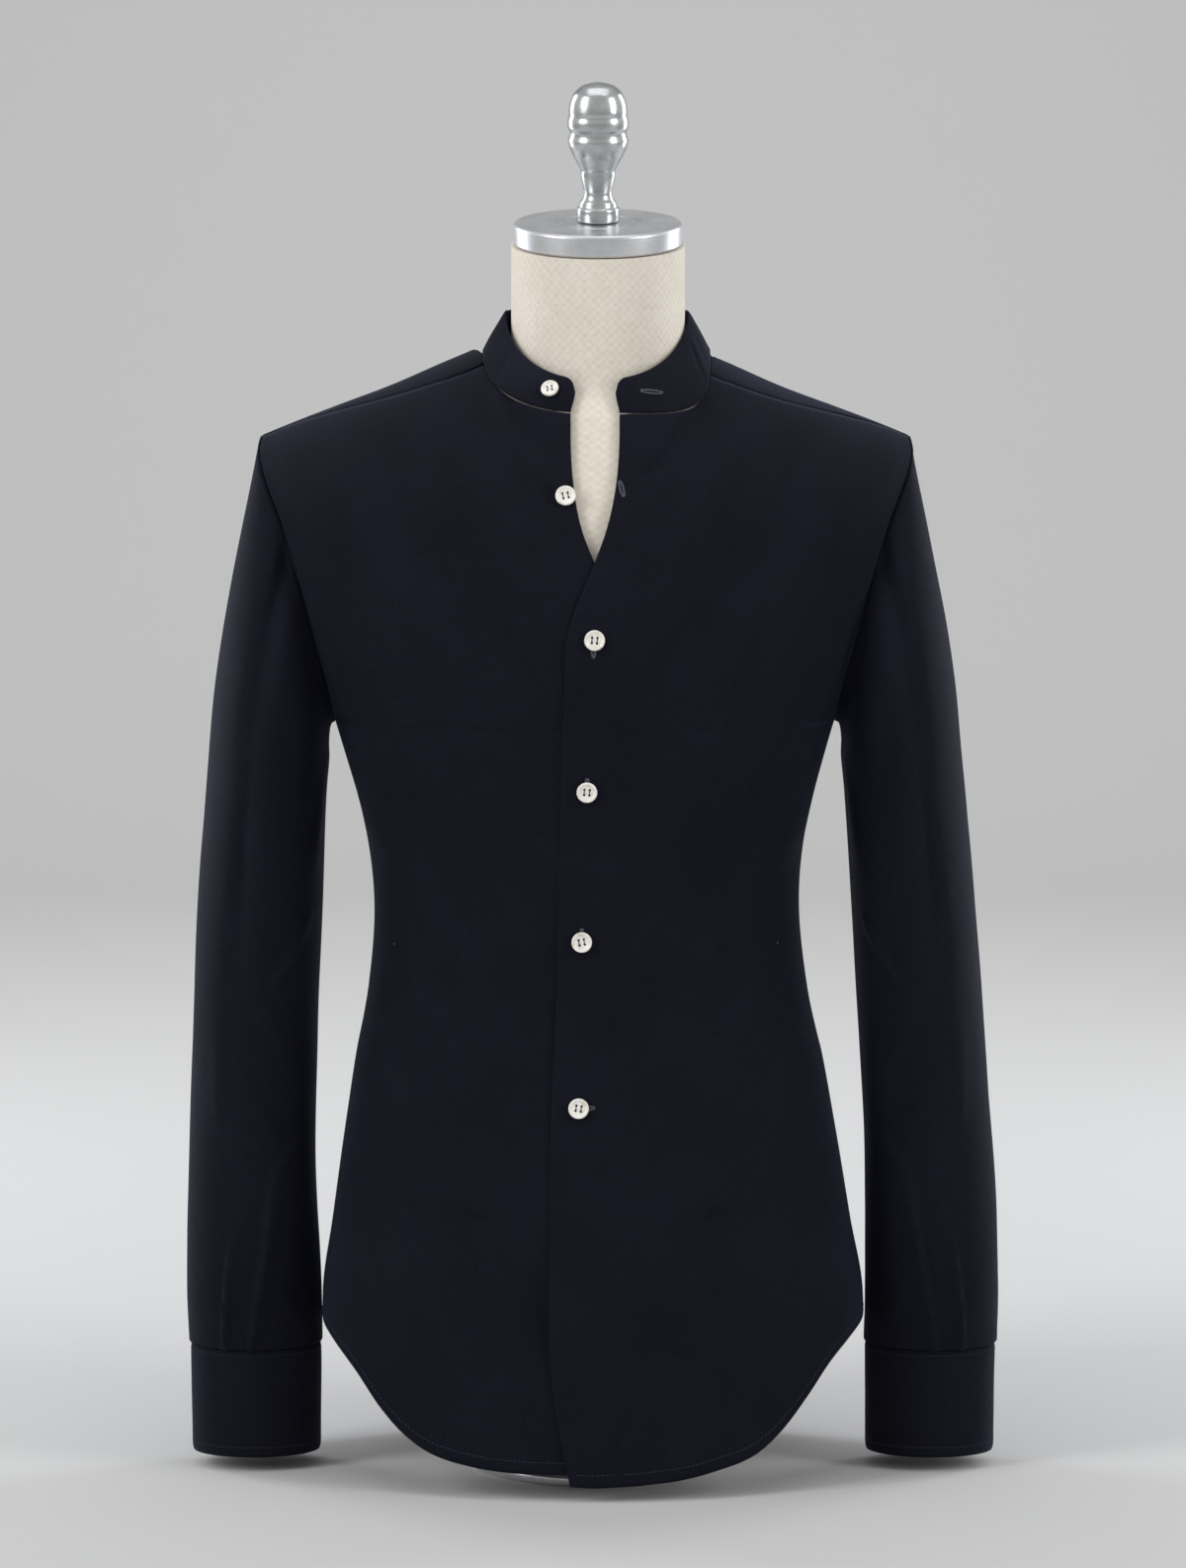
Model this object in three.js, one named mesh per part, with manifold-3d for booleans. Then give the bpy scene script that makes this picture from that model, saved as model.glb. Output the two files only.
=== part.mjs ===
// A mandarin collar shirt worn by a limbless dress form, in millimetres, +Z up.
// The origin is the middle of the stand's underside, the front faces -Y and the wearer's left is +X.
import * as THREE from 'three';
import { mergeVertices } from 'three/addons/utils/BufferGeometryUtils.js';
import Module from 'manifold-3d';

const wasm = await Module();
wasm.setup();

// Driving dimensions
const CLOTH = 1.4; // wall of every cloth piece
const SEAM = 0.3; // gap between two pieces that are sewn together
const LAYER = 0.45; // gap between two pieces that lie on each other
const ARMHOLE_EASE = 1.1; // keeps the sleeve's flat facets off the panels along the curved armhole
const BAND_EASE = 1.2; // the same, where the band stands on the curved neckline
const ARMPIT = 497; // height of the bottom of the armholes
const SHOULDER_TIP = 685; // height of the top of the armholes
const LOOP_STEPS = 12; // steps down each side of an armhole, the same on the panels and the sleeve
const loopHeight = (k) => {
  const share = (1 - Math.cos((Math.PI * k) / LOOP_STEPS)) / 2;
  return ARMPIT + (SHOULDER_TIP - ARMPIT) * share;
};
const YOKE_STEP = 9; // the yoke's back seam meets the armhole at this step
const YOKE_BACK = loopHeight(YOKE_STEP);
const CUFF_TOP = 82.7;
const CUFF_BOTTOM = 10;
const ROUNDNESS = 2.4; // 2 is an ellipse, more is squarer

// Body of the shirt: half width, depth in front and behind, and the middle, at each height
const BODY = [
  { z: 0, side: 180.4, front: 118.5, back: 121.5, centre: 0 },
  { z: 118, side: 179.6, front: 116, back: 120, centre: 0 },
  { z: 166, side: 172.2, front: 112, back: 116, centre: -0.7 },
  { z: 219, side: 164.3, front: 107, back: 110, centre: -1.6 },
  { z: 273, side: 155.2, front: 103, back: 103, centre: -2.6 },
  { z: 325, side: 145, front: 101, back: 97, centre: -3.6 },
  { z: 378, side: 140.8, front: 101, back: 94, centre: -4.3 },
  { z: 430, side: 146.5, front: 107, back: 97, centre: -4.9 },
  { z: 483, side: 160.4, front: 114, back: 105, centre: -5.3 },
  { z: 513, side: 170, front: 117, back: 109.5, centre: -5.3 },
  { z: 543, side: 183, front: 117, back: 112, centre: -5.3 },
  { z: 583, side: 197, front: 114, back: 114, centre: -5.2 },
  { z: 626, side: 211, front: 106.5, back: 112.5, centre: -5 },
  { z: 683, side: 234, front: 93.5, back: 104, centre: -5 },
  { z: 773, side: 246, front: 80, back: 101, centre: -5 },
];

// Top of the shoulders, by the distance from the middle, and how far below it the chest and back are full
const SHOULDER = [
  { d: 0, top: 773, front: 150, back: 115 },
  { d: 40, top: 760, front: 138, back: 108 },
  { d: 68, top: 744.5, front: 130, back: 104 },
  { d: 98, top: 731.5, front: 118, back: 98 },
  { d: 129, top: 718, front: 105, back: 93 },
  { d: 162, top: 705.3, front: 94, back: 87 },
  { d: 196, top: 692.2, front: 83, back: 82 },
  { d: 225, top: 680, front: 75, back: 78 },
];

// Armhole seam, as a share of the body's half width
const ARMHOLE = [
  { z: 497, share: 1 },
  { z: 515, share: 0.978 },
  { z: 538, share: 0.952 },
  { z: 583, share: 0.935 },
  { z: 648, share: 0.932 },
  { z: 673, share: 0.922 },
  { z: 685, share: 0.905 },
];

// Front edges: the under front (wearer's right) and the over front (wearer's left)
const UNDER_EDGE = [
  { z: 3, x: 10 },
  { z: 103, x: 7 },
  { z: 253, x: 8 },
  { z: 359, x: 11 },
  { z: 456, x: 13 },
  { z: 543, x: 17 },
  { z: 573, x: 15 },
  { z: 603, x: 8 },
  { z: 628, x: -0.5 },
  { z: 653, x: -5.7 },
  { z: 678, x: -10.7 },
  { z: 703, x: -14 },
];
const OVER_EDGE = [
  { z: 9, x: -14.6 },
  { z: 57, x: -23.5 },
  { z: 91, x: -27.3 },
  { z: 136, x: -27.9 },
  { z: 234, x: -27.3 },
  { z: 325, x: -23.5 },
  { z: 429, x: -21.1 },
  { z: 520, x: -18.2 },
  { z: 560, x: -16.3 },
  { z: 601, x: -6.9 },
  { z: 628, x: 0.6 },
  { z: 678, x: 11.4 },
  { z: 705, x: 17.3 },
];

// Curved shirt-tail hem, by the distance from the middle
const HEM = [
  { d: 0, right: 17.3, left: 9.6, back: 9.6 },
  { d: 50, right: 18.5, left: 12.8, back: 12.5 },
  { d: 80, right: 22, left: 19, back: 18.5 },
  { d: 105, right: 28.5, left: 27.5, back: 28 },
  { d: 123, right: 39.5, left: 42, back: 41 },
  { d: 139, right: 55.6, left: 61, back: 59 },
  { d: 155, right: 76.5, left: 82, back: 80 },
  { d: 170, right: 92, left: 96, back: 94 },
  { d: 180, right: 101, left: 103, back: 102 },
];

// Sleeve rings from the armhole down. Each ring is tilted: it has its own height at the outer and the inner side.
// join says how far the ring has turned from the armhole's shape to a plain oval.
const SLEEVE = [
  { outerZ: 685, outer: 212, innerZ: 498.5, inner: 164.5, front: 60, back: 62, join: 0 },
  { outerZ: 677, outer: 219, innerZ: 497.5, inner: 175, front: 64, back: 66, join: 0.22 },
  { outerZ: 655, outer: 224.4, innerZ: 495, inner: 174, front: 69, back: 70, join: 0.5 },
  { outerZ: 620, outer: 230.4, innerZ: 489, inner: 172.5, front: 73, back: 73, join: 0.75 },
  { outerZ: 575, outer: 236.8, innerZ: 481, inner: 171.5, front: 75, back: 74, join: 0.93 },
  { outerZ: 525, outer: 242.8, innerZ: 471, inner: 171, front: 75, back: 73, join: 1 },
  { outerZ: 472, outer: 248, innerZ: 450, inner: 173, front: 73, back: 70, join: 1 },
  { outerZ: 418, outer: 253.2, innerZ: 412, inner: 175.2, front: 69, back: 65, join: 1 },
  { outerZ: 353, outer: 258.2, innerZ: 353, inner: 177.8, front: 63, back: 59, join: 1 },
  { outerZ: 287, outer: 262.2, innerZ: 287, inner: 181.2, front: 57, back: 53, join: 1 },
  { outerZ: 221, outer: 266.2, innerZ: 221, inner: 183.8, front: 52, back: 48, join: 1 },
  { outerZ: 178, outer: 268.5, innerZ: 178, inner: 183.6, front: 49, back: 45, join: 1 },
  { outerZ: 146, outer: 269.3, innerZ: 146, inner: 182.8, front: 46, back: 42, join: 1 },
  { outerZ: 118, outer: 269.8, innerZ: 118, inner: 182.2, front: 43, back: 39, join: 1 },
  { outerZ: 98, outer: 269.4, innerZ: 98, inner: 182, front: 39, back: 36, join: 1 },
  { outerZ: 83, outer: 268.8, innerZ: 83, inner: 182, front: 34, back: 33, join: 1 },
];

// Pleats above the cuff: the angle round the sleeve (90 is its front), depth, half width and top
const PLEATS = [
  { at: 68, depth: 2.6, reach: 9, top: 165 },
  { at: 104, depth: 3, reach: 9, top: 195 },
];

// Seam of the collar band round the neck, and the top edge of the band
const NECK_X = 2.5;
const NECK_HALF = 75;
const NECK_LOW = 698.5; // at the front edges
const NECK_RISE = 42; // up to the shoulder
const NECK_BACK = 9; // from the shoulder up to the middle of the back
const BAND_TOP = { half: 60, front: 71, back: 60, riseFront: 22, riseSide: 27, riseBack: 31 };
const BAND_CORNER = 9;
const UNDER_END = -13; // angles where the band ends, degrees from the middle of the front
const OVER_END = 11.2;
const YOKE_ANGLE = 80; // where the yoke's front seams meet the band

// Dress form, stand, cap and knob
const FORM = { clearShoulder: 3.4, clearBody: 5.5, clearCollar: 14, bottom: 150 };
const NECK = { radius: 57, x: 3.3, y: -5, tilt: 13 };
const NECK_TOP = 811;
const CAP = { radius: 55.5, height: 15 };
const STAND = { post: 16, foot: 85, footHeight: 7, footY: 12 };

const BUTTON = { radius: 6.6, thick: 2.6, rim: 1.2, dish: 0.7, hole: 0.85, pitch: 1.75 };
const FRONT_BUTTONS = [
  { name: 'button_1', x: -17.6, z: 645.6, on: 'under' },
  { name: 'button_2', x: 0.6, z: 553.7, on: 'over' },
  { name: 'button_3', x: -4.4, z: 456.8, on: 'over' },
  { name: 'button_4', x: -7, z: 359.6, on: 'over' },
  { name: 'button_5', x: -9.5, z: 253.4, on: 'over' },
];

const COLOURS = { cloth: 0x14161f, pearl: 0xeae6dc, linen: 0xe0d8cb, metal: 0xb9bcc0, dark: 0x55585c };

// Smooth value of one column of a table, between its rows
function read(table, key, column, at) {
  const last = table.length - 1;
  const rising = table[last][key] > table[0][key];
  let i = 0;
  while (i < last - 1 && (rising ? at > table[i + 1][key] : at < table[i + 1][key])) i += 1;
  const slope = (k) => {
    const a = Math.max(k - 1, 0);
    const b = Math.min(k + 1, last);
    return (table[b][column] - table[a][column]) / (table[b][key] - table[a][key]);
  };
  const span = table[i + 1][key] - table[i][key];
  const t = Math.min(Math.max((at - table[i][key]) / span, 0), 1);
  const h = t * t * (3 - 2 * t);
  const ends = (1 - h) * table[i][column] + h * table[i + 1][column];
  const bend = t * (1 - t) * (1 - t) * slope(i) - t * t * (1 - t) * slope(i + 1);
  return ends + bend * span;
}

const lerp = (a, b, t) => a + (b - a) * t;
const radians = (degrees) => (degrees * Math.PI) / 180;
const smooth = (t) => {
  const c = Math.min(Math.max(t, 0), 1);
  return c * c * (3 - 2 * c);
};

// Depth of the body at x and z, from the middle plane to the cloth: sign is -1 in front, 1 behind
function bodyDepth(x, z, sign, inset = 0) {
  const face = sign < 0 ? 'front' : 'back';
  const d = Math.abs(x - read(BODY, 'z', 'centre', z));
  const side = read(BODY, 'z', 'side', z) - inset;
  const depth = read(BODY, 'z', face, z) - inset;
  const across = Math.max(1 - (d / side) ** ROUNDNESS, 0) ** (1 / ROUNDNESS);
  const below = (read(SHOULDER, 'd', 'top', d) - inset - z) / read(SHOULDER, 'd', face, d);
  const over = Math.sqrt(Math.max(1 - (1 - Math.min(Math.max(below, 0), 1)) ** 2, 0));
  return depth * across * over;
}

const bodyPoint = (x, z, sign) => new THREE.Vector3(x, sign * bodyDepth(x, z, sign), z);

// A level set that is zero on the body, used for the direction that faces out of the cloth
function bodyLevel(p) {
  const sign = p.y < 0 ? -1 : 1;
  const face = sign < 0 ? 'front' : 'back';
  const d = Math.abs(p.x - read(BODY, 'z', 'centre', p.z));
  const x = 1 - (d / read(BODY, 'z', 'side', p.z)) ** ROUNDNESS;
  const across = Math.sign(x) * Math.abs(x) ** (2 / ROUNDNESS);
  const below = (read(SHOULDER, 'd', 'top', d) - p.z) / read(SHOULDER, 'd', face, d);
  const over = below < 1 ? 1 - (1 - below) ** 2 : 1;
  return (p.y / read(BODY, 'z', face, p.z)) ** 2 - across * over;
}

function outward(p) {
  const step = 0.5;
  const slope = (axis) => {
    const a = p.clone();
    const b = p.clone();
    a[axis] -= step;
    b[axis] += step;
    return bodyLevel(b) - bodyLevel(a);
  };
  return new THREE.Vector3(slope('x'), slope('y'), slope('z')).normalize();
}

// A wall over a grid of { point, normal }: its outer face lies `lift` outside the grid
function wall(grid, { lift = 0, thick = CLOTH, closed = false } = {}) {
  const rows = grid.length;
  const cols = grid[0].length;
  const positions = [];
  for (const depth of [lift, lift - thick]) {
    for (const row of grid) {
      for (const { point, normal, raise = 0 } of row) {
        const p = point.clone().addScaledVector(normal, depth + raise);
        positions.push(p.x, p.y, p.z);
      }
    }
  }
  const inner = rows * cols;
  const at = (r, c) => r * cols + (c % cols);
  const index = [];
  const quad = (a, b, c, d) => index.push(a, b, c, a, c, d);
  const lastCol = closed ? cols : cols - 1;
  for (let r = 0; r < rows - 1; r += 1) {
    for (let c = 0; c < lastCol; c += 1) {
      quad(at(r, c), at(r, c + 1), at(r + 1, c + 1), at(r + 1, c));
      quad(inner + at(r, c), inner + at(r + 1, c), inner + at(r + 1, c + 1), inner + at(r, c + 1));
    }
  }
  for (let c = 0; c < lastCol; c += 1) {
    quad(at(0, c + 1), at(0, c), inner + at(0, c), inner + at(0, c + 1));
    const r = rows - 1;
    quad(at(r, c), at(r, c + 1), inner + at(r, c + 1), inner + at(r, c));
  }
  if (!closed) {
    for (let r = 0; r < rows - 1; r += 1) {
      quad(at(r, 0), at(r + 1, 0), inner + at(r + 1, 0), inner + at(r, 0));
      const c = cols - 1;
      quad(at(r + 1, c), at(r, c), inner + at(r, c), inner + at(r + 1, c));
    }
  }
  return shape(positions, index);
}

function shape(positions, index) {
  const geometry = new THREE.BufferGeometry();
  geometry.setAttribute('position', new THREE.Float32BufferAttribute(positions, 3));
  geometry.setIndex(index);
  if (volume(geometry) < 0) index.reverse();
  geometry.setIndex(index);
  return geometry;
}

function volume(geometry) {
  const p = geometry.getAttribute('position');
  const index = geometry.getIndex().array;
  const [a, b, c] = [new THREE.Vector3(), new THREE.Vector3(), new THREE.Vector3()];
  let total = 0;
  for (let i = 0; i < index.length; i += 3) {
    a.fromBufferAttribute(p, index[i]);
    b.fromBufferAttribute(p, index[i + 1]);
    c.fromBufferAttribute(p, index[i + 2]);
    total += a.dot(b.cross(c)) / 6;
  }
  return total;
}

// Point of the collar seam at an angle round the neck: 0 is the middle of the front, + is the wearer's left
function neckline(angle) {
  const a = radians(angle);
  const x = NECK_X + NECK_HALF * Math.sin(a);
  const sign = Math.abs(angle) < 90 ? -1 : 1;
  const bend = angle > 0 ? 2.6 : 1.2;
  const rise = sign < 0
    ? NECK_RISE * (1 - Math.cos(a)) ** bend
    : NECK_RISE + NECK_BACK * Math.cos(a) ** 2;
  const z = NECK_LOW + rise;
  const y = Math.max(bodyDepth(x, z, sign), 12 * Math.abs(Math.cos(a)));
  return new THREE.Vector3(x, sign * y, z);
}

// Front seam of the yoke, from the band to the tip of the shoulder: side is -1 or 1, t runs 0 to 1
function yokeSeam(side, t) {
  const neck = neckline(side * YOKE_ANGLE);
  const centre = read(BODY, 'z', 'centre', SHOULDER_TIP);
  const tip = centre + side * armholeX(SHOULDER_TIP);
  const x = lerp(neck.x, tip, t);
  const top = (at) => read(SHOULDER, 'd', 'top', Math.abs(at - centre));
  const drop = lerp(top(neck.x) - neck.z, 0.4, smooth(t));
  return { x, z: top(x) - drop };
}

const armholeX = (z) => read(BODY, 'z', 'side', z) * read(ARMHOLE, 'z', 'share', z);

// Cell of a body panel, moved in from its neighbour by half a seam gap where it is sewn
const onBody = (x, z, sign) => {
  const point = bodyPoint(x, z, sign);
  return { point, normal: outward(point) };
};

// Long soft troughs in the front panels, from (x, z) to (x, z): the dents beside the placket and under the band
const FRONT_FOLDS = [
  { x: -32, z: 190, toX: -36, toZ: 90, depth: 1.6, reach: 14 },
  { x: -52, z: 700, toX: -30, toZ: 650, depth: 1.8, reach: 9 },
  { x: 66, z: 700, toX: 40, toZ: 645, depth: 1.8, reach: 10 },
  { x: -112, z: 500, toX: -106, toZ: 400, depth: 0.8, reach: 16 },
  { x: 104, z: 500, toX: 92, toZ: 330, depth: 0.8, reach: 16 },
];

function foldRaise(x, z) {
  let raise = 0;
  for (const f of FRONT_FOLDS) {
    const along = new THREE.Vector2(f.toX - f.x, f.toZ - f.z);
    const from = new THREE.Vector2(x - f.x, z - f.z);
    const t = Math.min(Math.max(from.dot(along) / along.lengthSq(), 0), 1);
    const away = from.addScaledVector(along, -t).length() / f.reach;
    raise -= f.depth * Math.exp(-away * away) * Math.sin(Math.PI * lerp(0.15, 0.85, t));
  }
  return raise;
}

const COLUMNS = 14; // of a front panel
const NECK_COLUMNS = 6;
const LOWER_ROWS = 11;

// One front panel: side is -1 for the wearer's right, 1 for the left
function front(side) {
  const edge = side < 0 ? UNDER_EDGE : OVER_EDGE;
  const hem = side < 0 ? 'right' : 'left';
  const end = side < 0 ? UNDER_END : OVER_END;
  const grid = [];
  for (let r = 0; r <= LOWER_ROWS + LOOP_STEPS; r += 1) {
    const row = [];
    const upper = (loopHeight(Math.max(r - LOWER_ROWS, 0)) - ARMPIT) / (SHOULDER_TIP - ARMPIT);
    for (let c = 0; c <= COLUMNS; c += 1) {
      const u = c / COLUMNS;
      const top = frontTop(side, end, c);
      let z = lerp(ARMPIT, top.z, upper);
      let x = across(side, edge, u, z);
      if (r < LOWER_ROWS) {
        for (let k = 0; k < 3; k += 1) {
          z = lerp(read(HEM, 'd', hem, Math.abs(x)), ARMPIT, r / LOWER_ROWS);
          x = across(side, edge, u, z);
        }
      }
      const centre = read(BODY, 'z', 'centre', z);
      const narrow = lerp(1, armholeX(Math.min(z, SHOULDER_TIP)) / armholeX(SHOULDER_TIP), u);
      x = lerp(x, centre + (top.x - centre) * narrow, smooth((upper - 0.25) / 0.75));
      const cell = onBody(x, z, -1);
      if (c === COLUMNS) cell.point.y -= SEAM / 2;
      if (c === COLUMNS && upper > 0) cell.point.x -= (side * SEAM) / 2;
      cell.raise = c === 0 || c === COLUMNS ? 0 : foldRaise(x, z);
      if (side > 0) cell.raise += overlapLift(x, z);
      row.push(cell);
    }
    grid.push(row);
  }
  return grid;
}

// The over front stands off the under front where it lies on it
function overlapLift(x, z) {
  const beyond = x - read(UNDER_EDGE, 'z', 'x', z);
  return (CLOTH + LAYER) * (1 - smooth((beyond - 14) / 20)) * (1 - smooth((z - 622) / 30));
}

// x at share u between the front edge and the side seam or armhole, spaced by the angle round the body
function across(side, edge, u, z) {
  const half = read(BODY, 'z', 'side', z);
  const centre = read(BODY, 'z', 'centre', z);
  const start = Math.asin((side * (read(edge, 'z', 'x', z) - centre)) / half);
  const stop = z > ARMPIT ? Math.asin(armholeX(z) / half) : Math.PI / 2;
  return centre + side * half * Math.sin(lerp(start, stop, u));
}

// Top edge of a front panel: the neckline, then the yoke seam
function frontTop(side, end, c) {
  if (c <= NECK_COLUMNS) {
    const point = neckline(lerp(end, side * YOKE_ANGLE, c / NECK_COLUMNS));
    return { x: point.x, z: point.z - SEAM };
  }
  const seam = yokeSeam(side, (c - NECK_COLUMNS) / (COLUMNS - NECK_COLUMNS));
  return { x: seam.x, z: seam.z - SEAM };
}

function back() {
  const columns = 24;
  const grid = [];
  for (let r = 0; r <= LOWER_ROWS + YOKE_STEP; r += 1) {
    const row = [];
    for (let c = 0; c <= columns; c += 1) {
      const side = c < columns / 2 ? -1 : 1;
      const turn = (2 * c) / columns - 1;
      const place = (z) => {
        const half = read(BODY, 'z', 'side', z);
        const stop = z > ARMPIT ? Math.asin(armholeX(z) / half) : Math.PI / 2;
        return read(BODY, 'z', 'centre', z) + half * Math.sin(turn * stop);
      };
      let z = loopHeight(Math.max(r - LOWER_ROWS, 0));
      if (r === LOWER_ROWS + YOKE_STEP) z -= SEAM / 2;
      if (r < LOWER_ROWS) {
        for (let k = 0; k < 3; k += 1) {
          z = lerp(read(HEM, 'd', 'back', Math.abs(place(z))), ARMPIT, r / LOWER_ROWS);
        }
      }
      const cell = onBody(place(z), z, 1);
      if (Math.abs(turn) === 1) {
        cell.point.y += SEAM / 2;
        if (r > LOWER_ROWS) cell.point.x -= (side * SEAM) / 2;
      }
      row.push(cell);
    }
    grid.push(row);
  }
  return grid;
}

// The yoke runs from its back seam over the shoulders to its front seams and round the back of the neck
function yoke() {
  const half = 14;
  const rows = 8;
  const neckColumns = 8;
  const grid = [];
  for (let r = 0; r <= rows; r += 1) {
    const row = [];
    for (let c = -half; c <= half; c += 1) {
      const side = c < 0 ? -1 : 1;
      const k = Math.abs(c);
      const share = k / half;
      const centre = read(BODY, 'z', 'centre', YOKE_BACK);
      const low = centre + side * armholeX(YOKE_BACK) * share;
      const finish = k < neckColumns
        ? neckline(side * lerp(180, YOKE_ANGLE, k / neckColumns))
        : seamPoint(side, (k - neckColumns) / (half - neckColumns));
      row.push(yokeCell(low, finish, r / rows, k === half ? side : 0));
    }
    grid.push(row);
  }
  return grid;
}

const seamPoint = (side, t) => {
  const seam = yokeSeam(side, t);
  return bodyPoint(seam.x, seam.z, -1);
};

// A point of the yoke at share t of the way from its back seam at x = low to its other edge
function yokeCell(low, finish, t, tip) {
  const topAt = (x) => read(SHOULDER, 'd', 'top', Math.abs(x - read(BODY, 'z', 'centre', SHOULDER_TIP)));
  const turnOf = (x, z, face) => {
    const below = (topAt(x) - z) / read(SHOULDER, 'd', face, Math.abs(x));
    return Math.acos(1 - Math.min(Math.max(below, 0), 1));
  };
  const start = turnOf(low, YOKE_BACK + SEAM / 2, 'back');
  const stop = finish.y < 0 ? -turnOf(finish.x, finish.z, 'front') : turnOf(finish.x, finish.z, 'back');
  const turn = lerp(start, stop, t);
  const sign = turn < 0 ? -1 : 1;
  let x = lerp(low, finish.x, t);
  if (tip) x -= (tip * SEAM) / 2;
  const reach = read(SHOULDER, 'd', sign < 0 ? 'front' : 'back', Math.abs(x));
  const z = topAt(x) - reach * (1 - Math.cos(turn));
  return onBody(x, z, sign);
}

// Collar band, from the end on the wearer's right round the back of the neck to the end on the left
function band() {
  const columns = 34;
  const rows = 3;
  const grid = [];
  for (let r = 0; r <= rows; r += 1) {
    const row = [];
    for (let c = 0; c <= columns; c += 1) {
      const angle = lerp(UNDER_END, OVER_END - 360, c / columns);
      row.push({ point: bandPoint(angle, r / rows), normal: bandNormal(angle) });
    }
    grid.push(row);
  }
  return grid;
}

function bandPoint(angle, t) {
  const turned = angle < -180 ? angle + 360 : angle;
  const a = radians(turned);
  const foot = neckline(turned);
  const inFront = Math.cos(a) > 0;
  const bend = Math.min(Math.abs(turned), 90);
  const seat = inFront
    ? NECK_LOW + NECK_RISE * (1 - Math.cos(radians(bend))) ** 1.2
    : NECK_LOW + NECK_RISE + NECK_BACK * Math.cos(a) ** 2;
  const rise = inFront
    ? lerp(BAND_TOP.riseFront, BAND_TOP.riseSide, Math.sin(a) ** 2)
    : lerp(BAND_TOP.riseSide, BAND_TOP.riseBack, Math.cos(a) ** 2);
  const fromEnd = (turned > 0 ? turned - OVER_END : UNDER_END - turned) * radians(1) * NECK_HALF;
  const short = BAND_CORNER - Math.min(Math.max(fromEnd, 0), BAND_CORNER);
  const corner = BAND_CORNER - Math.sqrt(BAND_CORNER ** 2 - short ** 2);
  const deep = inFront ? BAND_TOP.front : BAND_TOP.back;
  const top = new THREE.Vector3(
    NECK_X + BAND_TOP.half * Math.sin(a),
    -deep * Math.cos(a),
    seat + rise - corner,
  );
  foot.z += BAND_EASE;
  return foot.lerp(top, t);
}

function bandNormal(angle) {
  const ahead = bandPoint(angle + 1, 0.3).sub(bandPoint(angle - 1, 0.3));
  const up = bandPoint(angle, 1).sub(bandPoint(angle, 0));
  return ahead.cross(up).normalize();
}

// Sleeve, by the angle round it: 0 is its outer side, 90 its front, 180 the inner side. side is -1 or 1.
function sleevePoint(side, ring, angle) {
  const row = (column) => {
    const i = Math.min(Math.floor(ring), SLEEVE.length - 2);
    return lerp(SLEEVE[i][column], SLEEVE[i + 1][column], ring - i);
  };
  const a = radians(angle);
  const z = lerp(row('innerZ'), row('outerZ'), (1 + Math.cos(a)) / 2);
  const loopZ = lerp(ARMPIT, SHOULDER_TIP, (1 + Math.cos(a)) / 2);
  const centre = read(BODY, 'z', 'centre', z);
  const sign = Math.sin(a) < 0 ? 1 : -1;
  const loopX = armholeX(loopZ);
  const loopY = sign * bodyDepth(centre + side * loopX, loopZ, sign);
  const tubeX = lerp(row('inner'), row('outer'), (1 + Math.cos(a)) / 2);
  const tubeY = -Math.sin(a) * (sign < 0 ? row('front') : row('back'));
  const x = lerp(loopX, tubeX, row('join'));
  const y = lerp(loopY, tubeY, row('join'));
  return new THREE.Vector3(centre + side * x, y, z);
}

function sleeveNormal(side, ring, angle) {
  const low = Math.max(ring - 0.25, 0);
  const high = Math.min(ring + 0.25, SLEEVE.length - 1);
  const down = sleevePoint(side, high, angle).sub(sleevePoint(side, low, angle));
  const round = sleevePoint(side, ring, angle + 4).sub(sleevePoint(side, ring, angle - 4));
  return round.cross(down).multiplyScalar(-side).normalize();
}

function sleeveCell(side, ring, angle) {
  const point = sleevePoint(side, ring, angle);
  let raise = 0;
  for (const pleat of PLEATS) {
    const away = (angle - pleat.at) / pleat.reach;
    raise -= pleat.depth * Math.exp(-away * away) * smooth((pleat.top - point.z) / 70);
  }
  return { point, normal: sleeveNormal(side, ring, angle), raise };
}

function sleeve(side) {
  const columns = 24;
  const grid = [];
  for (let r = 0; r < SLEEVE.length; r += 1) {
    const row = [];
    for (let c = 0; c < columns; c += 1) {
      const cell = sleeveCell(side, r, (360 * c) / columns);
      if (r === 0) cell.point.x += side * ARMHOLE_EASE;
      if (r === 0) cell.normal = outward(cell.point);
      if (r === SLEEVE.length - 1) {
        cell.point.z = CUFF_TOP + SEAM;
        cell.normal.setZ(0).normalize();
      }
      row.push(cell);
    }
    grid.push(row);
  }
  return grid;
}

// Cuff: a band buttoned round the wrist, its outer end lapping over its inner end at the back
const CUFF = { inner: 182, outer: 268.4, front: 33, back: 32, start: 236, lap: 24 };

function cuffPoint(side, angle, z) {
  const a = radians(angle);
  const taper = lerp(1, 0.985, (CUFF_TOP - z) / (CUFF_TOP - CUFF_BOTTOM));
  const middle = (CUFF.inner + CUFF.outer) / 2;
  const half = ((CUFF.outer - CUFF.inner) / 2) * taper;
  const deep = (Math.sin(a) < 0 ? CUFF.back : CUFF.front) * taper;
  return new THREE.Vector3(side * (middle + half * Math.cos(a)), -deep * Math.sin(a), z);
}

function cuffNormal(side, angle) {
  const z = (CUFF_TOP + CUFF_BOTTOM) / 2;
  const round = cuffPoint(side, angle + 2, z).sub(cuffPoint(side, angle - 2, z));
  return new THREE.Vector3(-round.y, round.x, 0).multiplyScalar(-side).normalize();
}

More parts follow.
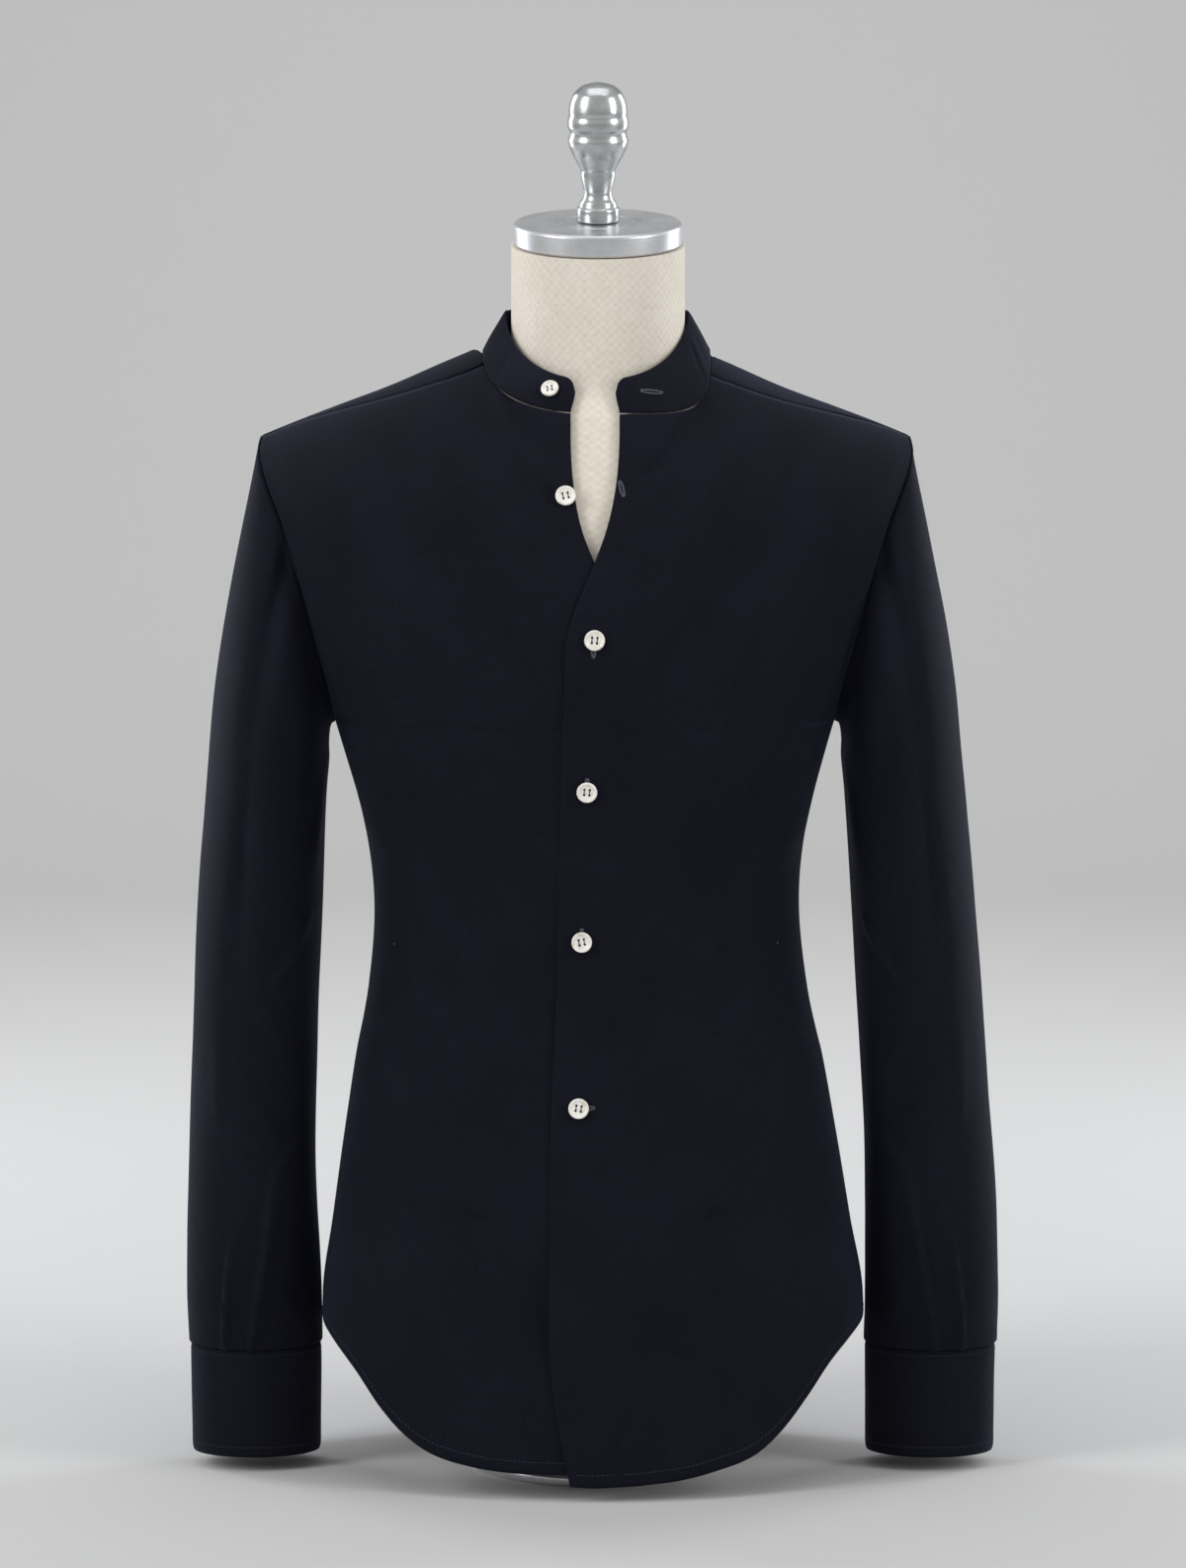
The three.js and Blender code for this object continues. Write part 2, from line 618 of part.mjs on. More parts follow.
function cuff(side) {
  const columns = 28;
  const grid = [];
  for (const z of [CUFF_BOTTOM, (CUFF_TOP + CUFF_BOTTOM) / 2, CUFF_TOP]) {
    const row = [];
    for (let c = 0; c <= columns; c += 1) {
      const angle = lerp(CUFF.start, CUFF.start + 360 + CUFF.lap, c / columns);
      const lapped = smooth((angle - CUFF.start - 360 + 26) / 26);
      row.push({ point: cuffPoint(side, angle, z), normal: cuffNormal(side, angle), raise: lapped * (CLOTH + LAYER) });
    }
    grid.push(row);
  }
  return grid;
}

// Placket: a strip of the sleeve's own points, moved out, above the cuff's opening
function placket(side) {
  const grid = [];
  const rings = [10.2, 11, 12, 13, 14, 14.8];
  for (const ring of rings) {
    const row = [];
    for (const angle of [240, 255, 270]) {
      const cell = sleeveCell(side, ring, angle);
      row.push(cell);
    }
    grid.push(row);
  }
  return grid;
}

// Dress form: the body's own sections moved in from the cloth, joined to a neck
function formRadius(z, angle, inset) {
  const a = radians(angle);
  const direction = [Math.cos(a), Math.sin(a)];
  let inside = 0;
  let outside = 260;
  for (let k = 0; k < 30; k += 1) {
    const r = (inside + outside) / 2;
    const x = NECK.x + r * direction[0];
    const y = NECK.y + r * direction[1];
    const sign = y < 0 ? -1 : 1;
    const wide = z > ARMPIT ? armholeX(Math.min(z, SHOULDER_TIP)) : read(BODY, 'z', 'side', z);
    const past = Math.abs(x - read(BODY, 'z', 'centre', z)) > wide - inset;
    if (!past && Math.abs(y) <= bodyDepth(x, z, sign, inset)) inside = r;
    else outside = r;
  }
  return inside;
}

function form() {
  const columns = 44;
  const heights = [];
  for (let z = FORM.bottom; z < 620; z += 26) heights.push(z);
  for (let z = 630; z < 745; z += 8) heights.push(z);
  for (let z = 748; z < NECK_TOP - 8; z += 15) heights.push(z);
  heights.push(NECK_TOP);
  const positions = [];
  for (const z of heights) {
    const low = lerp(FORM.clearBody, FORM.clearShoulder, smooth((z - 560) / 90));
    const inset = low + FORM.clearCollar * smooth((z - 700) / 45);
    const lean = Math.tan(radians(NECK.tilt)) * smooth((z - 735) / (NECK_TOP - 735));
    for (let c = 0; c < columns; c += 1) {
      const angle = (360 * (c + 0.5)) / columns;
      const body = z < 772 ? formRadius(z, angle, inset) : 0;
      const a = radians(angle);
      const neck = z > 640 ? NECK.radius : 0;
      const r = Math.max(body, neck);
      const y = NECK.y + r * Math.sin(a);
      positions.push(NECK.x + r * Math.cos(a), y, z + lean * y);
    }
  }
  return capped(positions, heights.length, columns);
}

// Closes a stack of rings with a fan at each end
function capped(positions, rings, columns) {
  const index = [];
  const at = (r, c) => r * columns + (c % columns);
  for (let r = 0; r < rings - 1; r += 1) {
    for (let c = 0; c < columns; c += 1) {
      index.push(at(r, c), at(r, c + 1), at(r + 1, c + 1), at(r, c), at(r + 1, c + 1), at(r + 1, c));
    }
  }
  for (let c = 1; c < columns - 1; c += 1) {
    index.push(at(0, 0), at(0, c + 1), at(0, c));
    index.push(at(rings - 1, 0), at(rings - 1, c), at(rings - 1, c + 1));
  }
  return shape(positions, index);
}

// Solid of revolution about Z from a profile of [radius, height], on the axis at both ends
function turned(profile, sides = 32) {
  const points = profile.map(([r, z]) => new THREE.Vector2(r, z));
  const geometry = new THREE.LatheGeometry(points, sides);
  geometry.rotateX(Math.PI / 2);
  return weld(geometry);
}

function weld(geometry) {
  geometry.deleteAttribute('normal');
  geometry.deleteAttribute('uv');
  const merged = mergeVertices(geometry, 1e-3);
  const index = Array.from(merged.getIndex().array);
  const kept = [];
  for (let i = 0; i < index.length; i += 3) {
    const [a, b, c] = index.slice(i, i + 3);
    if (a !== b && b !== c && c !== a) kept.push(a, b, c);
  }
  return shape(Array.from(merged.getAttribute('position').array), kept);
}

function solid(geometry) {
  const vertProperties = new Float32Array(geometry.getAttribute('position').array);
  const triVerts = new Uint32Array(geometry.getIndex().array);
  return new wasm.Manifold(new wasm.Mesh({ numProp: 3, vertProperties, triVerts }));
}

// Four-hole button with a raised rim, its back on the plane z = 0
function button(scale = 1) {
  const { radius, thick, rim, dish, hole, pitch } = BUTTON;
  const r = radius * scale;
  let body = solid(turned([
    [0, 0],
    [r - 0.9, 0],
    [r, 0.9],
    [r, thick - 0.7],
    [r - 0.5, thick],
    [r - rim, thick],
    [r - rim - 0.9, thick - dish],
    [0, thick - dish],
  ], 16));
  for (const [x, y] of [[1, 1], [1, -1], [-1, 1], [-1, -1]]) {
    const drill = weld(new THREE.CylinderGeometry(hole, hole, 3 * thick, 8));
    drill.rotateX(Math.PI / 2);
    drill.translate(x * pitch * scale, y * pitch * scale, 0);
    body = body.subtract(solid(drill));
  }
  const mesh = body.getMesh();
  return shape(Array.from(mesh.vertProperties), Array.from(mesh.triVerts));
}

const model = new THREE.Group();

function add(name, geometry, colour, roughness, metalness = 0, parent = model) {
  const material = new THREE.MeshStandardMaterial({ color: colour, roughness, metalness });
  const mesh = new THREE.Mesh(geometry, material);
  mesh.name = name;
  parent.add(mesh);
  return mesh;
}

const cloth = (name, grid, options) => add(name, wall(grid, options), COLOURS.cloth, 0.95);

cloth('front_right', front(-1));
cloth('front_left', front(1));
cloth('back', back());
cloth('yoke', yoke());
cloth('collar_band', band());
for (const [name, side] of [['right', -1], ['left', 1]]) {
  cloth(`sleeve_${name}`, sleeve(side), { closed: true });
  cloth(`cuff_${name}`, cuff(side));
  cloth(`placket_${name}`, placket(side), { lift: CLOTH + LAYER });
}

// Sets a button on a surface point, facing along its normal
function setButton(name, point, normal, lift, scale = 1) {
  const mesh = add(name, button(scale), COLOURS.pearl, 0.3);
  mesh.position.copy(point).addScaledVector(normal, lift);
  mesh.quaternion.setFromUnitVectors(new THREE.Vector3(0, 0, 1), normal);
}

const COLLAR_BUTTON = { angle: -26, height: 0.5 };
const collarSpot = bandPoint(COLLAR_BUTTON.angle, COLLAR_BUTTON.height);
setButton('button_collar', collarSpot, bandNormal(COLLAR_BUTTON.angle), 0.6, 0.88);
for (const { name, x, z, on } of FRONT_BUTTONS) {
  const { point, normal } = onBody(x, z, -1);
  const lift = on === 'over' ? overlapLift(x, z) : foldRaise(x, z);
  setButton(name, point, normal, lift + 0.7);
}
const CUFF_BUTTON = { angle: 248, z: 46 };
for (const [name, side] of [['right', -1], ['left', 1]]) {
  const spot = cuffPoint(side, CUFF_BUTTON.angle, CUFF_BUTTON.z);
  setButton(`button_cuff_${name}`, spot, cuffNormal(side, CUFF_BUTTON.angle), CLOTH + LAYER + 0.8, 0.88);
}

add('form', form(), COLOURS.linen, 0.9);

// Cap and knob stand square to the leaning top of the neck
const head = new THREE.Group();
head.position.set(NECK.x, NECK.y, NECK_TOP + NECK.y * Math.tan(radians(NECK.tilt)));
head.rotation.x = radians(NECK.tilt);
model.add(head);
add('neck_cap', turned([
  [0, SEAM],
  [CAP.radius - 1.5, SEAM],
  [CAP.radius, 1.8],
  [CAP.radius, CAP.height - 1.5],
  [CAP.radius - 1.5, CAP.height],
  [27.5, CAP.height],
  [26.5, CAP.height - 1],
  [24.5, CAP.height - 1],
  [23.5, CAP.height],
  [0, CAP.height],
], 48), COLOURS.metal, 0.3, 1, head);
const KNOB = [
  [0, 0], [14, 0], [14, 9], [12.4, 10.4], [12, 13], [9.6, 16], [9, 19], [10.2, 24], [11.4, 30],
  [11.2, 33.5], [13.6, 38], [17, 44], [19.4, 50], [20, 54], [18.8, 56.5], [18.6, 59], [20.2, 62],
  [20, 67], [19, 69.5], [19.4, 72], [18.6, 78], [16, 84], [11, 88.5], [5, 90.5], [0, 91],
];
const knob = add('knob', turned(KNOB, 24), COLOURS.metal, 0.25, 1, head);
knob.position.z = CAP.height + SEAM;

const post = new THREE.CylinderGeometry(STAND.post, STAND.post, FORM.bottom - STAND.footHeight - 2 * SEAM, 32);
post.rotateX(Math.PI / 2);
const postMesh = add('stand_post', weld(post), COLOURS.dark, 0.4, 1);
postMesh.position.z = (FORM.bottom + STAND.footHeight) / 2;
const foot = add('stand_foot', turned([
  [0, 0],
  [STAND.foot, 0],
  [STAND.foot, STAND.footHeight - 2],
  [STAND.foot - 2, STAND.footHeight],
  [0, STAND.footHeight],
], 64), COLOURS.dark, 0.4, 1);
foot.position.y = STAND.footY;

export default model;
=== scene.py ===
"""A mandarin collar shirt on a dress form.

Fine cloth, buttons, linen form and metal, laid over the CAD frame.
"""

import math

import bmesh
import bpy
import numpy as np
from mathutils import Matrix, Vector


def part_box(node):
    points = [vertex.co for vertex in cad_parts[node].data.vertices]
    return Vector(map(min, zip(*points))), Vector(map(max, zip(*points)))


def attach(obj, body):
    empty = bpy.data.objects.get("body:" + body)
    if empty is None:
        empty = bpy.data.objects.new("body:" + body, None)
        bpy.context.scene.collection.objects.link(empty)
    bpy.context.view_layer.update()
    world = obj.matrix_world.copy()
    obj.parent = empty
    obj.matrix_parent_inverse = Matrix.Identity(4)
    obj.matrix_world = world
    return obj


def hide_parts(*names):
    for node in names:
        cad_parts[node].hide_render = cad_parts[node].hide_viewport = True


bl_info = {
    "name": "Band collar shirt on a form",
    "version": (1, 0, 0),
    "blender": (4, 5, 0),
    "location": "3D View > Sidebar > Shirt",
    "description": "Builds the finished shirt, its dress form and its studio around the packed frame",
    "category": "Object",
}

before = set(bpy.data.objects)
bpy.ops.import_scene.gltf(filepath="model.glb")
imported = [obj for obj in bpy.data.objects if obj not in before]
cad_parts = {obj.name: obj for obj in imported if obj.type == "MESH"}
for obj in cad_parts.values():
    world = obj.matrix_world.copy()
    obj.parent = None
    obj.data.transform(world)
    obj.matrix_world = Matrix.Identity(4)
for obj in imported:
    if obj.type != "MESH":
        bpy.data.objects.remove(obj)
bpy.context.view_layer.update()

MM = 0.001
CLOTH = 1.1  # wall of the finished cloth
LAYER = 0.75  # how far one layer of cloth stands off the one below
SEAM = 0.3
ARMPIT = 497.0
SHOULDER_TIP = 685.0
LOOP_STEPS = 12
YOKE_STEP = 9
ROUNDNESS = 2.4
FOLD_STRENGTH = 1.7  # every depth in the fold tables is multiplied by this
FACING = 37.0  # width of the folded facing along each front
PLACKET_EASE = 0.5
BAND_MIDDLE_ROW = 12
CUFF_TOP = 82.7
CUFF_BOTTOM = 10.0


def table(columns, *rows):
    """A table with named columns, a row for each section."""
    names = columns.split()
    return {name: np.array([row[i] for row in rows], float) for i, name in enumerate(names)}


BODY = table(
    "z side front back centre",
    (0, 180.4, 118.5, 121.5, 0),
    (118, 179.6, 116, 120, 0),
    (166, 172.2, 112, 116, -0.7),
    (219, 164.3, 107, 110, -1.6),
    (273, 155.2, 103, 103, -2.6),
    (325, 145, 101, 97, -3.6),
    (378, 140.8, 101, 94, -4.3),
    (430, 146.5, 107, 97, -4.9),
    (483, 160.4, 114, 105, -5.3),
    (513, 170, 117, 109.5, -5.3),
    (543, 183, 117, 112, -5.3),
    (583, 197, 114, 114, -5.2),
    (626, 211, 106.5, 112.5, -5),
    (683, 234, 93.5, 104, -5),
    (773, 246, 80, 101, -5),
)
SHOULDER = table(
    "d top front back",
    (0, 773, 150, 115),
    (40, 760, 138, 108),
    (68, 744.5, 130, 104),
    (98, 731.5, 118, 98),
    (129, 718, 105, 93),
    (162, 705.3, 94, 87),
    (196, 692.2, 83, 82),
    (225, 680, 75, 78),
)
ARMHOLE = table(
    "z share",
    (497, 1),
    (515, 0.978),
    (538, 0.952),
    (583, 0.935),
    (648, 0.932),
    (673, 0.922),
    (685, 0.905),
)
UNDER_EDGE = table(
    "z x",
    (3, 10),
    (103, 7),
    (253, 8),
    (359, 11),
    (456, 13),
    (543, 17),
    (573, 15),
    (603, 8),
    (628, -0.5),
    (653, -5.7),
    (678, -10.7),
    (703, -14),
)
OVER_EDGE = table(
    "z x",
    (9, -14.6),
    (57, -23.5),
    (91, -27.3),
    (136, -27.9),
    (234, -27.3),
    (325, -23.5),
    (429, -21.1),
    (520, -18.2),
    (560, -16.3),
    (601, -6.9),
    (628, 0.6),
    (678, 11.4),
    (705, 17.3),
)
HEM = table(
    "d right left back",
    (0, 17.3, 9.6, 9.6),
    (50, 18.5, 12.8, 12.5),
    (80, 22, 19, 18.5),
    (105, 28.5, 27.5, 28),
    (123, 39.5, 42, 41),
    (139, 55.6, 61, 59),
    (155, 76.5, 82, 80),
    (170, 92, 96, 94),
    (180, 101, 103, 102),
)
SLEEVE = table(
    "ring outer_z outer inner_z inner front back join",
    (0, 685, 212, 498.5, 164.5, 60, 62, 0),
    (1, 677, 219, 497.5, 175, 64, 66, 0.22),
    (2, 655, 224.4, 495, 174, 69, 70, 0.5),
    (3, 620, 230.4, 489, 172.5, 73, 73, 0.75),
    (4, 575, 236.8, 481, 171.5, 75, 74, 0.93),
    (5, 525, 242.8, 471, 171, 75, 73, 1),
    (6, 472, 248, 450, 173, 73, 70, 1),
    (7, 418, 253.2, 412, 175.2, 69, 65, 1),
    (8, 353, 258.2, 353, 177.8, 63, 59, 1),
    (9, 287, 262.2, 287, 181.2, 57, 53, 1),
    (10, 221, 266.2, 221, 183.8, 52, 48, 1),
    (11, 178, 268.5, 178, 183.6, 49, 45, 1),
    (12, 146, 269.3, 146, 182.8, 46, 42, 1),
    (13, 118, 269.8, 118, 182.2, 43, 39, 1),
    (14, 98, 269.4, 98, 182, 39, 36, 1),
    (15, 83, 268.8, 83, 182, 34, 33, 1),
)
# Soft troughs and ridges, from one point to another: depth is into the cloth, minus is a ridge
FRONT_FOLDS = table(
    "x z to_x to_z depth reach",
    (-55, 708, -37, 672, 2.6, 5),
    (-62, 706, -28, 650, -1.8, 6),
    (-40, 699, -33, 680, 1.3, 3.5),
    (-33, 653, -24, 640, 1.2, 5),
    (71, 704, 47, 674, 2.6, 6),
    (47, 674, 33, 655, 1.8, 5),
    (62, 687, 53, 666, 1.6, 4),
    (58, 698, 40, 668, -1.0, 4),
    (-114, 471, -101, 398, 0.8, 7),
    (103, 468, 95, 412, 0.8, 6),
    (95, 412, 84, 305, 0.7, 6),
    (-92, 183, -64, 180, 1.1, 2.6),
    (64, 181, 92, 184, 1.1, 2.6),
    (-80, 190, -77, 172, 1.0, 2.4),
    (74, 190, 78, 172, 1.0, 2.4),
    (-71, 156, -86, 102, 0.9, 3.5),
    (71, 156, 81, 109, 0.9, 3.5),
    (81, 109, 84, 27, 0.7, 4),
    (41, 102, 63, 91, 0.9, 2.6),
    (-36, 150, -31, 96, 2.2, 8),
    (-52, 120, -44, 60, -1.0, 12),
    (13, 26, 24, 57, 1.4, 4),
    (90, 45, 86, 28, 0.8, 2.6),
    (-11, 352, -22, 330, -0.7, 1.4),
    (-150, 420, -120, 380, 1.0, 9),
    (145, 425, 118, 384, 1.0, 9),
    (-150, 300, -128, 322, 0.8, 8),
    (148, 290, 126, 318, 0.8, 8),
    (-120, 640, -165, 560, 0.9, 16),
    (118, 640, 160, 560, 0.9, 16),
)
BACK_FOLDS = table(
    "x z to_x to_z depth reach",
    (-60, 560, -70, 380, 1.8, 14),
    (62, 570, 70, 390, 1.8, 14),
    (-5, 480, 2, 330, 1.2, 18),
    (-110, 430, -70, 392, 1.4, 8),
    (112, 420, 66, 384, 1.4, 8),
    (-95, 350, -60, 372, 1.2, 7),
    (96, 344, 58, 368, 1.2, 7),
    (-80, 210, -92, 80, 1.0, 10),
    (84, 220, 90, 70, 1.0, 10),
    (0, 190, 6, 60, 0.9, 12),
    (-150, 560, -110, 600, 1.2, 10),
    (146, 556, 108, 600, 1.2, 10),
)
# Sleeve folds by the angle round the sleeve (90 is its front) and by height.
# sharp narrows one side of a fold, as a pressed pleat does.
SLEEVE_FOLDS = table(
    "angle z to_angle to_z depth reach sharp",
    (80, 640, 79, 470, -2.6, 8, 1),
    (79, 470, 76, 330, -2.2, 8, 1),
    (96, 620, 99, 380, 1.0, 12, 1),
    (64, 233, 58, 300, 0.8, 8, 1),
    (134, 354, 112, 329, 2.0, 4, 0.5),
    (150, 372, 128, 352, 1.2, 5, 1),
    (138, 226, 118, 206, 1.4, 4, 0.6),
    (110, 124, 132, 108, 1.3, 4, 1),
    (64, 82, 77, 166, 3.0, 7, 0.22),
    (88, 82, 112, 198, 3.2, 8, 0.22),
    (270, 620, 268, 350, -1.8, 9, 1),
    (228, 356, 206, 330, 1.6, 5, 0.6),
    (236, 260, 214, 236, 1.2, 5, 1),
    (200, 480, 215, 420, 1.2, 8, 1),
    (165, 470, 150, 400, 1.0, 8, 1),
    (300, 84, 292, 150, 1.6, 7, 1),
    (330, 560, 335, 400, 0.9, 12, 1),
)

NECK = {"x": 2.5, "half": 75.0, "low": 698.5, "rise": 42.0, "back": 9.0}
BAND = {"half": 60.0, "front": 71.0, "back": 60.0, "rise_front": 22.0, "rise_side": 27.0, "rise_back": 31.0}
BAND_CORNER = 9.0
UNDER_END = -13.0
OVER_END = 11.2
YOKE_ANGLE = 80.0
CUFF = {"inner": 182.0, "outer": 268.4, "front": 33.0, "back": 32.0, "start": 236.0, "lap": 24.0}
FORM_NECK = {"x": 3.3, "y": -5.0, "radius": 57.0, "tilt": math.radians(13), "top": 811.0}
BUTTON_RADIUS = 6.6
HOLE_SPREAD = 1.7  # from the middle of a button to its holes, each way
SMALL = 0.88  # collar and cuff buttons against the front ones
COLLAR_BUTTON = -26.0  # angle round the neck
CUFF_BUTTON = 248.0  # angle round the cuff
FRONT_BUTTONS = (
    ("button_1", -17.6, 645.6, False),
    ("button_2", 0.6, 553.7, True),
    ("button_3", -4.4, 456.8, True),
    ("button_4", -7.0, 359.6, True),
    ("button_5", -9.5, 253.4, True),
)


def smooth(t):
    c = np.clip(t, 0, 1)
    return c * c * (3 - 2 * c)


def lerp(a, b, t):
    return a + (b - a) * t


def read(rows, key, column, at):
    """Smooth value of one column of a table between its rows."""
    xs, ys = rows[key], rows[column]
    last = len(xs) - 1
    i = np.clip(np.searchsorted(xs, at, side="left") - 1, 0, last - 1)
    low, high = np.maximum(np.arange(last + 1) - 1, 0), np.minimum(np.arange(last + 1) + 1, last)
    slope = (ys[high] - ys[low]) / (xs[high] - xs[low])
    span = xs[i + 1] - xs[i]
    t = np.clip((at - xs[i]) / span, 0, 1)
    h = t * t * (3 - 2 * t)
    bend = t * (1 - t) ** 2 * slope[i] - t * t * (1 - t) * slope[i + 1]
    return (1 - h) * ys[i] + h * ys[i + 1] + bend * span


def body_depth(x, z, sign, inset=0.0):
    """Depth of the body at x and z. sign is -1 in front and 1 behind."""
    d = np.abs(x - read(BODY, "z", "centre", z))
    side = read(BODY, "z", "side", z) - inset
    front = sign < 0
    depth = np.where(front, read(BODY, "z", "front", z), read(BODY, "z", "back", z)) - inset
    reach = np.where(front, read(SHOULDER, "d", "front", d), read(SHOULDER, "d", "back", d))
    across_body = np.maximum(1 - (d / side) ** ROUNDNESS, 0) ** (1 / ROUNDNESS)
    below = (read(SHOULDER, "d", "top", d) - inset - z) / reach
    over = np.sqrt(np.maximum(1 - (1 - np.clip(below, 0, 1)) ** 2, 0))
    return depth * across_body * over


def body_points(x, z, sign):
    return np.stack([x, sign * body_depth(x, z, sign), z], axis=-1)


def armhole_x(z):
    return read(BODY, "z", "side", z) * read(ARMHOLE, "z", "share", z)


def loop_height(k):
    return ARMPIT + (SHOULDER_TIP - ARMPIT) * (1 - np.cos(np.pi * k / LOOP_STEPS)) / 2


YOKE_BACK = loop_height(YOKE_STEP)


def fold_raise(folds, x, z):
    """Movement along the outward direction that a table of folds gives at x and z."""
    raised = np.zeros(np.broadcast(x, z).shape)
    way = "angle" if "angle" in folds else "x"
    for i in range(len(folds["depth"])):
        bx, bz = folds[way][i], folds["z"][i]
        dx, dz = folds["to_" + way][i] - bx, folds["to_z"][i] - bz
        length = dx * dx + dz * dz
        t = np.clip(((x - bx) * dx + (z - bz) * dz) / length, 0, 1)
        off_x, off_z = x - bx - t * dx, z - bz - t * dz
        turn = np.sign(off_x)
        reach = folds["reach"][i] * (0.7 + 0.6 * t)
        if "sharp" in folds:
            reach = reach * np.where(turn < 0, folds["sharp"][i], 1.0)
        away = (off_x * off_x + off_z * off_z) / reach**2
        raised -= FOLD_STRENGTH * folds["depth"][i] * np.exp(-away) * np.sin(np.pi * lerp(0.12, 0.9, t))
    return raised


def drape(x, z, phase=0.0):
    """Slow, uneven waves that keep hanging cloth from looking machined."""
    slow = np.sin(x / 31 + 1.3 * np.sin(z / 97 + phase)) * np.sin(z / 83 + phase + 0.6 * np.sin(x / 57))
    fine = np.sin(x / 13 + 2.1 * np.sin(z / 41 + phase)) * np.sin(z / 37 + 1.7 + phase)
    return 0.75 * slow + 0.22 * fine


def neckline(angle):
    """Points of the collar seam by the angle round the neck: 0 in front, + to the wearer's left."""
    a = np.radians(angle)
    x = NECK["x"] + NECK["half"] * np.sin(a)
    sign = np.where(np.abs(angle) < 90, -1.0, 1.0)
    bend = np.where(angle > 0, 2.6, 1.2)
    front = NECK["rise"] * np.maximum(1 - np.cos(a), 0) ** bend
    rise = np.where(sign < 0, front, NECK["rise"] + NECK["back"] * np.cos(a) ** 2)
    z = NECK["low"] + rise
    y = np.maximum(body_depth(x, z, sign), 12 * np.abs(np.cos(a)))
    return np.stack([x, sign * y, z], axis=-1)


def yoke_seam(side, t):
    neck = neckline(np.array(side * YOKE_ANGLE))
    centre = read(BODY, "z", "centre", SHOULDER_TIP)
    tip = centre + side * armhole_x(SHOULDER_TIP)
    x = lerp(neck[0], tip, t)
    top_neck = read(SHOULDER, "d", "top", abs(neck[0] - centre))
    drop = lerp(top_neck - neck[2], 0.4, smooth(t))
    return x, read(SHOULDER, "d", "top", np.abs(x - centre)) - drop


def across(side, edge, u, z):
    half = read(BODY, "z", "side", z)
    centre = read(BODY, "z", "centre", z)
    start = np.arcsin(np.clip(side * (read(edge, "z", "x", z) - centre) / half, -1, 1))
    share = np.where(z > ARMPIT, armhole_x(z) / half, 1.0)
    stop = np.arcsin(np.clip(share, -1, 1))
    return centre + side * half * np.sin(lerp(start, stop, u))


def front_grid(side, columns=110, lower=150, upper=110):
    edge = UNDER_EDGE if side < 0 else OVER_EDGE
    hem = "right" if side < 0 else "left"
    end = UNDER_END if side < 0 else OVER_END
    share = 6 / 14
    u = np.linspace(0, 1, columns)
    neck = neckline(lerp(end, side * YOKE_ANGLE, np.clip(u / share, 0, 1)))
    seam_x, seam_z = yoke_seam(side, np.clip((u - share) / (1 - share), 0, 1))
    top_x = np.where(u <= share, neck[:, 0], seam_x)
    top_z = np.where(u <= share, neck[:, 2], seam_z) - SEAM
    below = np.linspace(0, 1, lower, endpoint=False)[:, None]
    z = np.full((lower, columns), 60.0)
    for _ in range(5):
        x = across(side, edge, u[None, :], z)
        z = lerp(read(HEM, "d", hem, np.abs(x)), ARMPIT, below)
    above = np.linspace(0, 1, upper)[:, None]
    z_up = lerp(ARMPIT, top_z[None, :], above)
    x_up = across(side, edge, u[None, :], z_up)
    centre = read(BODY, "z", "centre", z_up)
    narrow = lerp(1, armhole_x(np.minimum(z_up, SHOULDER_TIP)) / armhole_x(SHOULDER_TIP), u[None, :])
    x_up = lerp(x_up, centre + (top_x[None, :] - centre) * narrow, smooth((above - 0.25) / 0.75))
    x = np.vstack([across(side, edge, u[None, :], z), x_up])
    z = np.vstack([z, z_up])
    points = body_points(x, z, -1.0)
    points[:, -1, 1] -= SEAM / 2
    rim = np.minimum(u, 1 - u)[None, :] * columns
    fade = smooth(rim / 6)
    raised = fold_raise(FRONT_FOLDS, x, z) * fade + drape(x, z, 0.4 * side) * fade
    raised += placket_lines(side, x, z)
    raised = above_form(raised, z)
    if side > 0:
        raised += overlap_lift(x, z)
    return points, raised


def above_form(raised, z):
    """Eases deep troughs so that the cloth never reaches the form under it."""
    room = lerp(3.6, 1.9, smooth((z - 560) / 80))
    return np.where(raised < 0, -room * np.tanh(-raised / room), raised)


def placket_lines(side, x, z):
    """The shallow line of the folded facing and a plump edge along each front."""
    edge = read(UNDER_EDGE if side < 0 else OVER_EDGE, "z", "x", z)
    from_edge = side * (x - edge)
    line = -0.3 * np.exp(-(((from_edge - FACING) / 1.1) ** 2))
    plump = 0.25 * smooth((from_edge - 1) / 3) * (1 - smooth((from_edge - FACING + 4) / 5))
    return (line + plump) * smooth((z - 20) / 30) * (1 - smooth((z - 650) / 40))


def overlap_lift(x, z):
    beyond = x - read(UNDER_EDGE, "z", "x", z)
    return (CLOTH + LAYER) * (1 - smooth((beyond - 14) / 20)) * (1 - smooth((z - 622) / 30))


def back_grid(columns=150, lower=130, upper=80):
    turn = np.linspace(-1, 1, columns)[None, :]

    def place(z):
        half = read(BODY, "z", "side", z)
        share = np.where(z > ARMPIT, armhole_x(z) / half, 1.0)
        return read(BODY, "z", "centre", z) + half * np.sin(turn * np.arcsin(np.clip(share, -1, 1)))

    below = np.linspace(0, 1, lower, endpoint=False)[:, None]
    z = np.full((lower, columns), 60.0)
    for _ in range(5):
        z = lerp(read(HEM, "d", "back", np.abs(place(z))), ARMPIT, below)
    z_up = np.repeat(np.linspace(ARMPIT, YOKE_BACK - SEAM, upper)[:, None], columns, axis=1)
    z = np.vstack([z, z_up])
    x = np.vstack([place(z[:lower]), place(z_up)])
    points = body_points(x, z, 1.0)
    points[:, [0, -1], 1] += SEAM / 2
    fade = smooth((1 - np.abs(turn)) * columns / 12)
    raised = above_form((fold_raise(BACK_FOLDS, x, z) + drape(x, z, 2.0)) * fade, z)
    return points, raised


